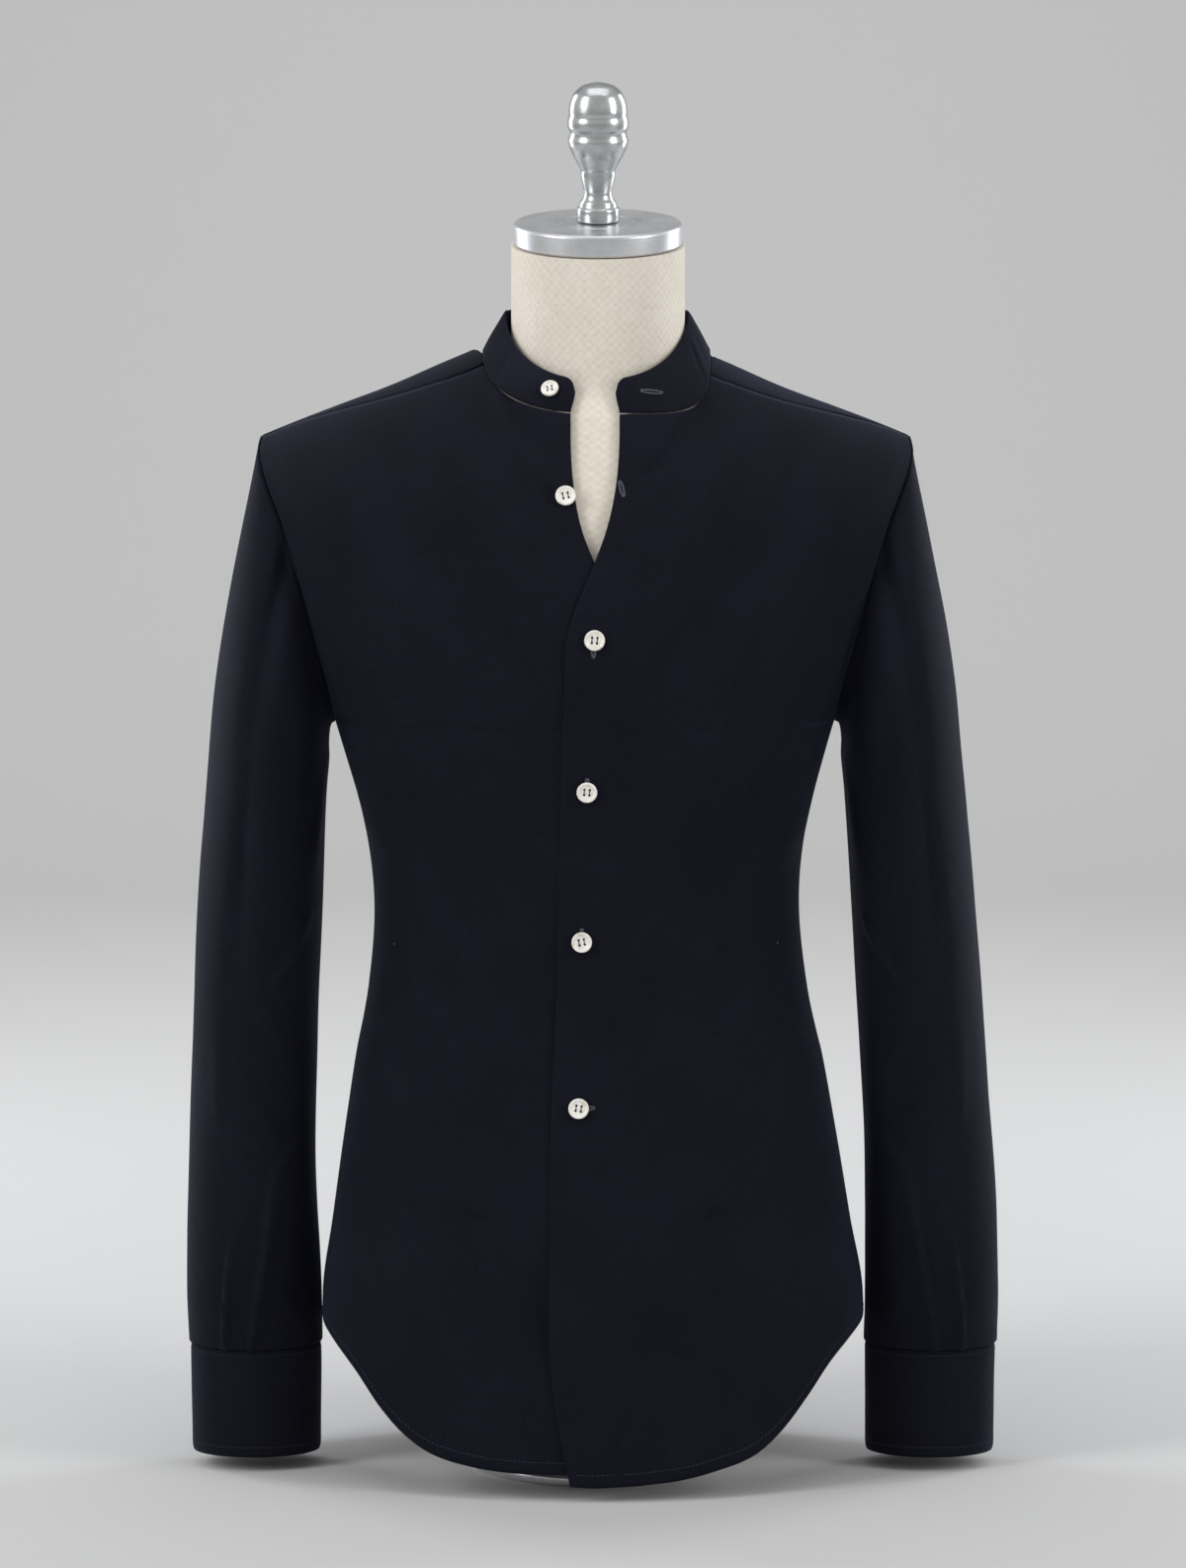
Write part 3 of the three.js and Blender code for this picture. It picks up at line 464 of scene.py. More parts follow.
def yoke_grid(columns=141, rows=60):
    share = np.linspace(-1, 1, columns)
    side = np.where(share < 0, -1.0, 1.0)
    k = np.abs(share)
    at_neck = 8 / 14
    centre = read(BODY, "z", "centre", YOKE_BACK)
    low = centre + side * armhole_x(YOKE_BACK) * k
    neck = neckline(side * lerp(180, YOKE_ANGLE, np.clip(k / at_neck, 0, 1)))
    t_seam = np.clip((k - at_neck) / (1 - at_neck), 0, 1)
    seam_x, seam_z = np.where(share < 0, yoke_seam(-1, t_seam), yoke_seam(1, t_seam))
    finish_x = np.where(k < at_neck, neck[:, 0], seam_x)
    finish_z = np.where(k < at_neck, neck[:, 2], seam_z)
    finish_front = (k >= at_neck) | (neck[:, 1] < 0)
    middle = read(BODY, "z", "centre", SHOULDER_TIP)

    def top_at(x):
        return read(SHOULDER, "d", "top", np.abs(x - middle))

    def turn_of(x, z, face):
        below = (top_at(x) - z) / read(SHOULDER, "d", face, np.abs(x))
        return np.arccos(1 - np.clip(below, 0, 1))

    start = turn_of(low, YOKE_BACK + SEAM / 2, "back")
    stop = np.where(finish_front, -turn_of(finish_x, finish_z, "front"), turn_of(finish_x, finish_z, "back"))
    t = np.linspace(0, 1, rows)[:, None]
    turn = lerp(start[None, :], stop[None, :], t)
    sign = np.where(turn < 0, -1.0, 1.0)
    x = lerp(low[None, :], finish_x[None, :], t)
    reach_front = read(SHOULDER, "d", "front", np.abs(x))
    reach = np.where(sign < 0, reach_front, read(SHOULDER, "d", "back", np.abs(x)))
    z = top_at(x) - reach * (1 - np.cos(turn))
    armhole = armhole_x(np.minimum(z[:, -1:], SHOULDER_TIP)) + 0.4
    wider = armhole / (x[:, -1:] - read(BODY, "z", "centre", z[:, -1:]))
    x = x * lerp(1, np.maximum(wider, 1), smooth((k[None, :] - 0.75) / 0.25))
    points = body_points(x, z, sign)
    raised = 0.5 * drape(x, points[..., 1], 1.0)
    return points, raised


def band_points(angle, t):
    turned = np.where(angle < -180, angle + 360, angle)
    a = np.radians(turned)
    foot = neckline(turned)
    in_front = np.cos(a) > 0
    bend = np.minimum(np.abs(turned), 90)
    seat_front = NECK["rise"] * (1 - np.cos(np.radians(bend))) ** 1.2
    seat = NECK["low"] + np.where(in_front, seat_front, NECK["rise"] + NECK["back"] * np.cos(a) ** 2)
    rise = np.where(
        in_front,
        lerp(BAND["rise_front"], BAND["rise_side"], np.sin(a) ** 2),
        lerp(BAND["rise_side"], BAND["rise_back"], np.cos(a) ** 2),
    )
    from_end = np.where(turned > 0, turned - OVER_END, UNDER_END - turned) * np.pi / 180 * NECK["half"]
    short = BAND_CORNER - np.clip(from_end, 0, BAND_CORNER)
    corner = BAND_CORNER - np.sqrt(BAND_CORNER**2 - short**2)
    deep = np.where(in_front, BAND["front"], BAND["back"])
    top = np.stack(
        [NECK["x"] + BAND["half"] * np.sin(a), -deep * np.cos(a), seat + rise - corner], axis=-1
    )
    foot = foot + np.array([0, 0, 0.6])
    return foot + (top - foot) * t[..., None]


def band_grid(columns=240, rows=26):
    steps = np.linspace(0, 1, columns)
    eased = steps + 0.03 * np.sin(2 * np.pi * steps)
    angle = lerp(UNDER_END, OVER_END - 360, eased)[None, :] * np.ones((rows, 1))
    t = np.linspace(0, 1, rows)[:, None] * np.ones((1, columns))
    points = band_points(angle, t)
    belly = 0.7 * np.sin(np.pi * t)
    creases = sum(
        -0.8 * np.exp(-(((angle - at) / 2.2) ** 2)) * np.sin(np.pi * np.clip(t * 1.2, 0, 1))
        for at in (-287.0, -279.0, -268.0, -62.0, -100.0)
    )
    return points, belly + creases


def sleeve_points(side, ring, angle):
    a = np.radians(angle)
    up = (1 + np.cos(a)) / 2
    z = lerp(read(SLEEVE, "ring", "inner_z", ring), read(SLEEVE, "ring", "outer_z", ring), up)
    loop_z = lerp(ARMPIT, SHOULDER_TIP, up)
    centre = read(BODY, "z", "centre", z)
    sign = np.where(np.sin(a) < 0, 1.0, -1.0)
    loop_x = armhole_x(loop_z)
    loop_y = sign * body_depth(centre + side * loop_x, loop_z, sign)
    tube_x = lerp(read(SLEEVE, "ring", "inner", ring), read(SLEEVE, "ring", "outer", ring), up)
    deep = np.where(sign < 0, read(SLEEVE, "ring", "front", ring), read(SLEEVE, "ring", "back", ring))
    tube_y = -np.sin(a) * deep
    join = read(SLEEVE, "ring", "join", ring)
    x = lerp(loop_x, tube_x, join) + 0.5 * (1 - smooth(ring))
    return np.stack([centre + side * x, lerp(loop_y, tube_y, join), z], axis=-1)


def sleeve_grid(side, columns=120, rows=230):
    ring = (np.linspace(0, 1, rows) * 15)[:, None] * np.ones((1, columns))
    angle = (np.arange(columns) * 360 / columns)[None, :] * np.ones((rows, 1))
    points = sleeve_points(side, ring, angle)
    points[-1, :, 2] = CUFF_TOP + SEAM
    z = points[..., 2]
    fade = smooth(ring / 1.2)
    raised = fold_raise(SLEEVE_FOLDS, angle, z) * fade
    raised += drape(angle * 0.9, z, 3.0 + side) * fade * smooth((z - 84) / 20)
    raised += 0.7 * np.exp(-(((ring - 0.35) / 0.25) ** 2))
    return points, raised


def cuff_points(side, angle, z):
    a = np.radians(angle)
    taper = lerp(1, 0.985, (CUFF_TOP - z) / (CUFF_TOP - CUFF_BOTTOM))
    middle = (CUFF["inner"] + CUFF["outer"]) / 2
    half = (CUFF["outer"] - CUFF["inner"]) / 2 * taper
    deep = np.where(np.sin(a) < 0, CUFF["back"], CUFF["front"]) * taper
    return np.stack([side * (middle + half * np.cos(a)), -deep * np.sin(a), z], axis=-1)


def cuff_grid(side, columns=190, rows=34):
    angle = lerp(CUFF["start"], CUFF["start"] + 360 + CUFF["lap"], np.linspace(0, 1, columns))[None, :]
    t = np.linspace(0, 1, rows)[:, None]
    angle = angle * np.ones((rows, 1))
    ends = np.minimum(angle - CUFF["start"], CUFF["start"] + 360 + CUFF["lap"] - angle) * 0.66
    round_end = 6.0
    short = round_end - np.clip(ends, 0, round_end)
    corner = round_end - np.sqrt(round_end**2 - short**2)
    z = lerp(CUFF_BOTTOM + corner, CUFF_TOP, t)
    points = cuff_points(side, angle, z)
    lapped = smooth((angle - CUFF["start"] - 360 + 26) / 26) * (CLOTH + LAYER)
    edge = 0.35 * smooth((z - CUFF_BOTTOM) / 4) * (1 - smooth((z - CUFF_TOP + 6) / 5))
    wave = 0.35 * drape(angle * 0.8, z * 2, side) * smooth((CUFF_TOP - z) / 15)
    return points, lapped + edge + wave


def directions(points, closed):
    """Unit outward directions of a grid of points."""
    if closed:
        along = np.roll(points, -1, axis=1) - np.roll(points, 1, axis=1)
    else:
        along = np.gradient(points, axis=1)
    up = np.gradient(points, axis=0)
    normal = np.cross(along, up)
    length = np.linalg.norm(normal, axis=-1, keepdims=True)
    return normal / np.maximum(length, 1e-9)


def wall_mesh(name, points, raised, thick=CLOTH, closed=False, facing=None):
    """A closed wall of cloth over a grid, with softened edges and a UV map in metres."""
    normal = directions(points, closed)
    if facing is not None:
        normal = normal * facing
    rows, cols = points.shape[:2]
    outer = points + normal * raised[..., None]
    soften = np.zeros((rows, cols))
    soften[[0, -1], :] = 0.32 * thick
    if not closed:
        soften[:, [0, -1]] = 0.32 * thick
    inner = outer - normal * (thick - soften)[..., None]
    outer = outer - normal * soften[..., None]
    vertices = np.concatenate([outer.reshape(-1, 3), inner.reshape(-1, 3)]) * MM
    faces = wall_faces(rows, cols, closed)
    mesh = bpy.data.meshes.new(name)
    mesh.from_pydata(vertices.tolist(), [], faces)
    add_uv(mesh, points)
    fix_facing(mesh)
    mesh.polygons.foreach_set("use_smooth", [True] * len(mesh.polygons))
    return bpy.data.objects.new(name, mesh)


def wall_faces(rows, cols, closed):
    inner = rows * cols
    last = cols if closed else cols - 1
    r, c = np.meshgrid(np.arange(rows - 1), np.arange(last), indexing="ij")
    r, c = r.ravel(), c.ravel()
    n = (c + 1) % cols
    quads = [np.stack([r * cols + c, r * cols + n, (r + 1) * cols + n, (r + 1) * cols + c], 1)]
    quads.append(quads[0][:, ::-1] + inner)
    c = np.arange(last)
    n = (c + 1) % cols
    quads.append(np.stack([n, c, inner + c, inner + n], 1))
    top = (rows - 1) * cols
    quads.append(np.stack([top + c, top + n, inner + top + n, inner + top + c], 1))
    if not closed:
        r = np.arange(rows - 1) * cols
        quads.append(np.stack([r, r + cols, inner + r + cols, inner + r], 1))
        r = r + cols - 1
        quads.append(np.stack([r + cols, r, inner + r, inner + r + cols], 1))
    return np.concatenate(quads).tolist()


def add_uv(mesh, points):
    """Lays the UV map out in metres of cloth, measured from the middle column and the lowest row."""
    rows, cols = points.shape[:2]
    along = np.linalg.norm(np.diff(points, axis=1), axis=-1)
    up = np.linalg.norm(np.diff(points, axis=0), axis=-1)
    u = np.concatenate([np.zeros((rows, 1)), np.cumsum(along, axis=1)], axis=1)
    u = u - u[:, cols // 2][:, None]
    v = np.concatenate([np.zeros((1, cols)), np.cumsum(up, axis=0)], axis=0)
    flat = np.stack([u.ravel(), v.ravel()], 1) * MM
    flat = np.concatenate([flat, flat])
    layer = mesh.uv_layers.new(name="cloth")
    loops = np.empty(len(mesh.loops), dtype=np.int32)
    mesh.loops.foreach_get("vertex_index", loops)
    layer.data.foreach_set("uv", flat[loops].ravel())


def fix_facing(mesh):
    bm = bmesh.new()
    bm.from_mesh(mesh)
    if bm.calc_volume(signed=True) < 0:
        bmesh.ops.reverse_faces(bm, faces=bm.faces)
    bm.to_mesh(mesh)
    bm.free()


def place(piece, material, slot, *nodes):
    """Puts a finished piece in the scene in place of its CAD nodes."""
    bpy.context.scene.collection.objects.link(piece)
    if material is not None:
        piece.data.materials.append(material)
    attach(piece, "root")
    if nodes:
        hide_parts(*nodes)
    return piece


# Materials


class Nodes:
    """Small helper that adds nodes and links to one node tree."""

    def __init__(self, tree):
        self.tree = tree

    def add(self, kind, **inputs):
        node = self.tree.nodes.new(kind)
        for key, value in inputs.items():
            setattr(node, key, value)
        return node

    def link(self, source, target):
        self.tree.links.new(source, target)

    def math(self, operation, a, b=None):
        node = self.add("ShaderNodeMath", operation=operation)
        for socket, value in zip(node.inputs, (a, b)):
            if value is None:
                continue
            if isinstance(value, (int, float)):
                socket.default_value = value
            else:
                self.link(value, socket)
        return node.outputs[0]

    def noise(self, vector, scale, detail=2.0, roughness=0.5):
        node = self.add("ShaderNodeTexNoise")
        node.inputs["Scale"].default_value = scale
        node.inputs["Detail"].default_value = detail
        node.inputs["Roughness"].default_value = roughness
        self.link(vector, node.inputs["Vector"])
        return node.outputs["Fac"]

    def ramp(self, fac, low, high):
        node = self.add("ShaderNodeMapRange")
        node.inputs["From Min"].default_value = low
        node.inputs["From Max"].default_value = high
        self.link(fac, node.inputs["Value"])
        return node.outputs["Result"]


def new_group(name, inputs, outputs):
    group = bpy.data.node_groups.new(name, "ShaderNodeTree")
    for label, kind, default in inputs:
        socket = group.interface.new_socket(label, in_out="INPUT", socket_type=kind)
        if default is not None:
            socket.default_value = default
    for label, kind in outputs:
        group.interface.new_socket(label, in_out="OUTPUT", socket_type=kind)
    n = Nodes(group)
    return group, n, n.add("NodeGroupInput"), n.add("NodeGroupOutput")


def twill_group():
    """Brushed twill: fine diagonal ribs under a fuzzy nap, heathered, with a few specks of lint."""
    group, n, start, end = new_group(
        "Brushed twill",
        [
            ("Vector", "NodeSocketVector", None),
            ("Dark", "NodeSocketColor", (0.01, 0.011, 0.02, 1)),
            ("Light", "NodeSocketColor", (0.03, 0.034, 0.055, 1)),
            ("Rib size", "NodeSocketFloat", 0.0009),
            ("Lint", "NodeSocketFloat", 0.5),
        ],
        [("Color", "NodeSocketColor"), ("Height", "NodeSocketFloat"), ("Roughness", "NodeSocketFloat")],
    )
    split = n.add("ShaderNodeSeparateXYZ")
    n.link(start.outputs["Vector"], split.inputs[0])
    warp = n.noise(start.outputs["Vector"], 900, 2)
    slant = n.math("ADD", split.outputs["X"], n.math("MULTIPLY", split.outputs["Y"], 0.62))
    slant = n.math("ADD", slant, n.math("MULTIPLY", warp, 0.0006))
    ribs = n.math("SINE", n.math("MULTIPLY", n.math("DIVIDE", slant, start.outputs["Rib size"]), 2 * math.pi))
    ribs = n.math("ADD", n.math("MULTIPLY", ribs, 0.5), 0.5)
    nap = n.noise(start.outputs["Vector"], 520, 6, 0.7)
    cloud = n.noise(start.outputs["Vector"], 14, 4, 0.6)
    heather = n.math("MULTIPLY", n.ramp(nap, 0.32, 0.72), 0.55)
    heather = n.math("ADD", heather, n.math("MULTIPLY", ribs, 0.18))
    heather = n.math("ADD", heather, n.math("MULTIPLY", n.ramp(cloud, 0.3, 0.75), 0.27))
    mix = n.add("ShaderNodeMix", data_type="RGBA")
    n.link(heather, mix.inputs["Factor"])
    n.link(start.outputs["Dark"], mix.inputs["A"])
    n.link(start.outputs["Light"], mix.inputs["B"])
    cells = n.add("ShaderNodeTexVoronoi")
    cells.inputs["Scale"].default_value = 34
    n.link(start.outputs["Vector"], cells.inputs["Vector"])
    sparse = n.noise(start.outputs["Vector"], 21, 1)
    speck = n.math("LESS_THAN", cells.outputs["Distance"], 0.018)
    speck = n.math("MULTIPLY", speck, n.math("GREATER_THAN", sparse, 0.62))
    speck = n.math("MULTIPLY", speck, start.outputs["Lint"])
    lint = n.add("ShaderNodeMix", data_type="RGBA")
    lint.inputs["B"].default_value = (0.35, 0.36, 0.4, 1)
    n.link(speck, lint.inputs["Factor"])
    n.link(mix.outputs["Result"], lint.inputs["A"])
    n.link(lint.outputs["Result"], end.inputs["Color"])
    height = n.math("ADD", n.math("MULTIPLY", ribs, 0.35), n.math("MULTIPLY", nap, 0.65))
    n.link(height, end.inputs["Height"])
    n.link(n.math("ADD", n.math("MULTIPLY", nap, 0.12), 0.82), end.inputs["Roughness"])
    return group


def plain_weave_group():
    """Plain weave of slubby threads, for the linen of the form."""
    group, n, start, end = new_group(
        "Plain weave",
        [
            ("Vector", "NodeSocketVector", None),
            ("Dark", "NodeSocketColor", (0.6, 0.53, 0.44, 1)),
            ("Light", "NodeSocketColor", (0.8, 0.75, 0.67, 1)),
            ("Threads", "NodeSocketFloat", 1100.0),
        ],
        [("Color", "NodeSocketColor"), ("Height", "NodeSocketFloat"), ("Roughness", "NodeSocketFloat")],
    )
    split = n.add("ShaderNodeSeparateXYZ")
    n.link(start.outputs["Vector"], split.inputs[0])
    slub = n.noise(start.outputs["Vector"], 260, 3)
    phase = n.math("MULTIPLY", slub, 3.0)
    threads = []
    for way in ("X", "Y"):
        count = n.math("MULTIPLY", split.outputs[way], start.outputs["Threads"])
        threads.append(n.math("SINE", n.math("ADD", count, phase)))
    weave = n.math("ADD", n.math("MULTIPLY", n.math("MULTIPLY", *threads), 0.5), 0.5)
    age = n.noise(start.outputs["Vector"], 18, 5, 0.65)
    tone = n.math("ADD", n.math("MULTIPLY", weave, 0.3), n.math("MULTIPLY", n.ramp(slub, 0.3, 0.7), 0.3))
    tone = n.math("ADD", tone, n.math("MULTIPLY", n.ramp(age, 0.25, 0.7), 0.4))
    mix = n.add("ShaderNodeMix", data_type="RGBA")
    n.link(tone, mix.inputs["Factor"])
    n.link(start.outputs["Dark"], mix.inputs["A"])
    n.link(start.outputs["Light"], mix.inputs["B"])
    n.link(mix.outputs["Result"], end.inputs["Color"])
    n.link(n.math("ADD", n.math("MULTIPLY", weave, 0.6), n.math("MULTIPLY", slub, 0.4)), end.inputs["Height"])
    n.link(n.math("ADD", n.math("MULTIPLY", slub, 0.1), 0.82), end.inputs["Roughness"])
    return group


def brushed_group():
    """Turned and handled metal: fine rings of tool marks, smudges and tiny pits."""
    group, n, start, end = new_group(
        "Turned metal",
        [
            ("Vector", "NodeSocketVector", None),
            ("Dark", "NodeSocketColor", (0.45, 0.46, 0.48, 1)),
            ("Light", "NodeSocketColor", (0.78, 0.79, 0.8, 1)),
            ("Rings", "NodeSocketFloat", 1.0),
            ("Low gloss", "NodeSocketFloat", 0.4),
            ("High gloss", "NodeSocketFloat", 0.2),
        ],
        [("Color", "NodeSocketColor"), ("Height", "NodeSocketFloat"), ("Roughness", "NodeSocketFloat")],
    )
    split = n.add("ShaderNodeSeparateXYZ")
    n.link(start.outputs["Vector"], split.inputs[0])
    radius = n.math("SQRT", n.math(
        "ADD",
        n.math("MULTIPLY", split.outputs["X"], split.outputs["X"]),
        n.math("MULTIPLY", split.outputs["Y"], split.outputs["Y"]),
    ))
    place_on = n.add("ShaderNodeCombineXYZ")
    n.link(n.math("MULTIPLY", radius, 900), place_on.inputs["X"])
    n.link(n.math("MULTIPLY", split.outputs["Z"], 900), place_on.inputs["Z"])
    marks = n.noise(place_on.outputs[0], 1.0, 4, 0.7)
    smudge = n.noise(start.outputs["Vector"], 45, 5, 0.65)
    pits = n.noise(start.outputs["Vector"], 420, 2)
    tone = n.math("ADD", n.math("MULTIPLY", marks, start.outputs["Rings"]), n.ramp(smudge, 0.3, 0.75))
    tone = n.math("MULTIPLY", tone, 0.6)
    mix = n.add("ShaderNodeMix", data_type="RGBA")
    n.link(tone, mix.inputs["Factor"])
    n.link(start.outputs["Dark"], mix.inputs["A"])
    n.link(start.outputs["Light"], mix.inputs["B"])
    n.link(mix.outputs["Result"], end.inputs["Color"])
    height = n.math("ADD", n.math("MULTIPLY", marks, start.outputs["Rings"]), n.math("MULTIPLY", pits, 0.5))
    n.link(height, end.inputs["Height"])
    gloss = n.add("ShaderNodeMix", data_type="FLOAT")
    n.link(n.ramp(smudge, 0.3, 0.75), gloss.inputs["Factor"])
    n.link(start.outputs["Low gloss"], gloss.inputs["A"])
    n.link(start.outputs["High gloss"], gloss.inputs["B"])
    n.link(gloss.outputs["Result"], end.inputs["Roughness"])
    return group


def finish_material(name, group, coordinate, values, bump, distance, **surface):
    """A material whose colour, roughness and bump come from one shared effect."""
    material = bpy.data.materials.new(name)
    material.use_nodes = True
    n = Nodes(material.node_tree)
    shader = material.node_tree.nodes["Principled BSDF"]
    effect = n.add("ShaderNodeGroup", node_tree=group)
    for label, value in values.items():
        effect.inputs[label].default_value = value
    source = n.add("ShaderNodeTexCoord")
    n.link(source.outputs[coordinate], effect.inputs["Vector"])
    n.link(effect.outputs["Color"], shader.inputs["Base Color"])
    n.link(effect.outputs["Roughness"], shader.inputs["Roughness"])
    relief = n.add("ShaderNodeBump")
    relief.inputs["Strength"].default_value = bump
    relief.inputs["Distance"].default_value = distance
    n.link(effect.outputs["Height"], relief.inputs["Height"])
    n.link(relief.outputs["Normal"], shader.inputs["Normal"])
    for label, value in surface.items():
        shader.inputs[label.replace("_", " ")].default_value = value
    return material


def pearl_material():
    material = bpy.data.materials.new("Mother of pearl")
    material.use_nodes = True
    n = Nodes(material.node_tree)
    shader = material.node_tree.nodes["Principled BSDF"]
    source = n.add("ShaderNodeTexCoord")
    cloud = n.noise(source.outputs["Object"], 260, 5, 0.65)
    colours = n.add("ShaderNodeValToRGB")
    ramp = colours.color_ramp
    ramp.elements[0].position = 0.3
    ramp.elements[0].color = (0.62, 0.52, 0.38, 1)
    ramp.elements[1].position = 0.62
    ramp.elements[1].color = (0.88, 0.86, 0.8, 1)
    middle = ramp.elements.new(0.46)
    middle.color = (0.8, 0.77, 0.72, 1)
    n.link(cloud, colours.inputs["Fac"])
    n.link(colours.outputs["Color"], shader.inputs["Base Color"])
    relief = n.add("ShaderNodeBump")
    relief.inputs["Strength"].default_value = 0.15
    relief.inputs["Distance"].default_value = 0.0002
    n.link(cloud, relief.inputs["Height"])
    n.link(relief.outputs["Normal"], shader.inputs["Normal"])
    shader.inputs["Roughness"].default_value = 0.28
    shader.inputs["Coat Weight"].default_value = 0.3
    shader.inputs["Subsurface Weight"].default_value = 0.1
    shader.inputs["Subsurface Scale"].default_value = 0.002
    return material


def materials():
    """Makes every material once and returns them by name."""
    known = bpy.data.materials
    if "Navy brushed cotton" in known:
        return {m.name: m for m in known}
    options = bpy.context.scene.shirt_cloth
    twill, weave, turned = twill_group(), plain_weave_group(), brushed_group()
    cloth_values = {"Dark": (*options.shade, 1), "Light": (*options.heather, 1), "Rib size": options.rib}
    finish_material(
        "Navy brushed cotton", twill, "UV", cloth_values, 0.7, 0.0006,
        Sheen_Weight=0.13, Sheen_Roughness=0.25, Sheen_Tint=(0.4, 0.5, 0.85, 1), Specular_IOR_Level=0.16,
    )
    thread = {"Dark": (0.012, 0.014, 0.024, 1), "Light": (0.04, 0.045, 0.07, 1), "Lint": 0.0}
    finish_material("Navy thread", twill, "Object", thread, 0.2, 0.0002, Specular_IOR_Level=0.25)
    # Buttonhole thread: its paler grey colour is a painted highlight on the raised purled stitches, over the
    # thread's own dark navy
    hole = {"Dark": (0.03, 0.033, 0.045, 1), "Light": (0.13, 0.14, 0.17, 1), "Lint": 0.0}
    finish_material("Buttonhole thread", twill, "Object", hole, 0.3, 0.0002, Specular_IOR_Level=0.4)
    finish_material("Form linen", weave, "UV", {}, 0.25, 0.0003, Specular_IOR_Level=0.2, Sheen_Weight=0.1)
    finish_material(
        "Turned aluminium", turned, "Object", {"Low gloss": 0.42, "High gloss": 0.26},
        0.12, 0.0002, Metallic=1.0,
    )
    finish_material(
        "Cast aluminium", turned, "Object",
        {"Rings": 0.35, "Low gloss": 0.34, "High gloss": 0.14, "Dark": (0.36, 0.38, 0.38, 1)},
        0.2, 0.0003, Metallic=1.0,
    )
    pearl_material()
    return {m.name: m for m in known}


# Solids of revolution, buttons and stitches


def lathe(name, profile, segments=96, smooth_angle=35):
    """A closed solid turned about Z from [radius, height] points, in millimetres."""
    bm = bmesh.new()
    rings = []
    for radius, height in profile:
        if radius < 1e-6:
            rings.append([bm.verts.new((0, 0, height * MM))])
            continue
        ring = []
        for k in range(segments):
            a = 2 * math.pi * k / segments
            ring.append(bm.verts.new((radius * MM * math.cos(a), radius * MM * math.sin(a), height * MM)))
        rings.append(ring)
    for low, high in zip(rings, rings[1:]):
        for k in range(segments):
            n = (k + 1) % segments
            corners = [low[k % len(low)], low[n % len(low)], high[n % len(high)], high[k % len(high)]]
            unique = list(dict.fromkeys(corners))
            bm.faces.new(unique)
    bmesh.ops.recalc_face_normals(bm, faces=bm.faces)
    mesh = bpy.data.meshes.new(name)
    bm.to_mesh(mesh)
    bm.free()
    mesh.polygons.foreach_set("use_smooth", [True] * len(mesh.polygons))
    mesh.set_sharp_from_angle(angle=math.radians(smooth_angle))
    return mesh


def rounded(points, radius=0.6, steps=4):
    """Rounds the corners of a profile with short arcs."""
    result = [points[0]]
    for before, corner, after in zip(points, points[1:], points[2:]):
        a, b, c = np.array(before, float), np.array(corner, float), np.array(after, float)
        reach = min(radius, 0.45 * np.linalg.norm(a - b), 0.45 * np.linalg.norm(c - b))
        p = b + (a - b) / np.linalg.norm(a - b) * reach
        q = b + (c - b) / np.linalg.norm(c - b) * reach
        for k in range(steps + 1):
            t = k / steps
            result.append(tuple((1 - t) ** 2 * p + 2 * t * (1 - t) * b + t * t * q))
    result.append(points[-1])
    return result


def button_mesh():
    """Four-hole button with a raised rim, its back on the plane z = 0."""
    r = BUTTON_RADIUS
    profile = [
        (0, 0.1), (r - 1.1, 0), (r, 0.9), (r, 1.9),
        (r - 0.4, 2.55), (r - 1.3, 2.5), (r - 2.3, 1.85), (0, 1.75),
    ]
    mesh = lathe("button", rounded(profile, 0.45, 4), 56, 60)
    blank = bpy.data.objects.new("blank", mesh)
    scene = bpy.context.scene
    scene.collection.objects.link(blank)
    pins = []
    for x, y in ((1, 1), (1, -1), (-1, 1), (-1, -1)):
        pin = bpy.data.objects.new("pin", lathe("pin", [(0, -2), (0.8, -2), (0.8, 6), (0, 6)], 20))
        pin.location = (HOLE_SPREAD * x * MM, HOLE_SPREAD * y * MM, 0)
        scene.collection.objects.link(pin)
        cut = blank.modifiers.new("hole", "BOOLEAN")
        cut.object = pin
        cut.operation = "DIFFERENCE"
        cut.solver = "EXACT"
        pins.append(pin)
    graph = bpy.context.evaluated_depsgraph_get()
    result = bpy.data.meshes.new_from_object(blank.evaluated_get(graph))
    result.name = "four_hole_button"
    for piece in [blank, *pins]:
        bpy.data.objects.remove(piece)
    return result


def stand_on(point, normal, up=(0, 0, 1)):
    """Matrix that stands a piece's Z along normal at a point, its Y nearly along up."""
    n = Vector(normal).normalized()
    x = Vector(up).cross(n).normalized()
    y = n.cross(x)
    return Matrix.Translation(Vector(point)) @ Matrix((x, y, n)).transposed().to_4x4()


def nearest(points, x, z):
    """Row and column of the grid point nearest to x and z."""
    gap = (points[..., 0] - x) ** 2 + (points[..., 2] - z) ** 2
    return np.unravel_index(np.argmin(gap), gap.shape)


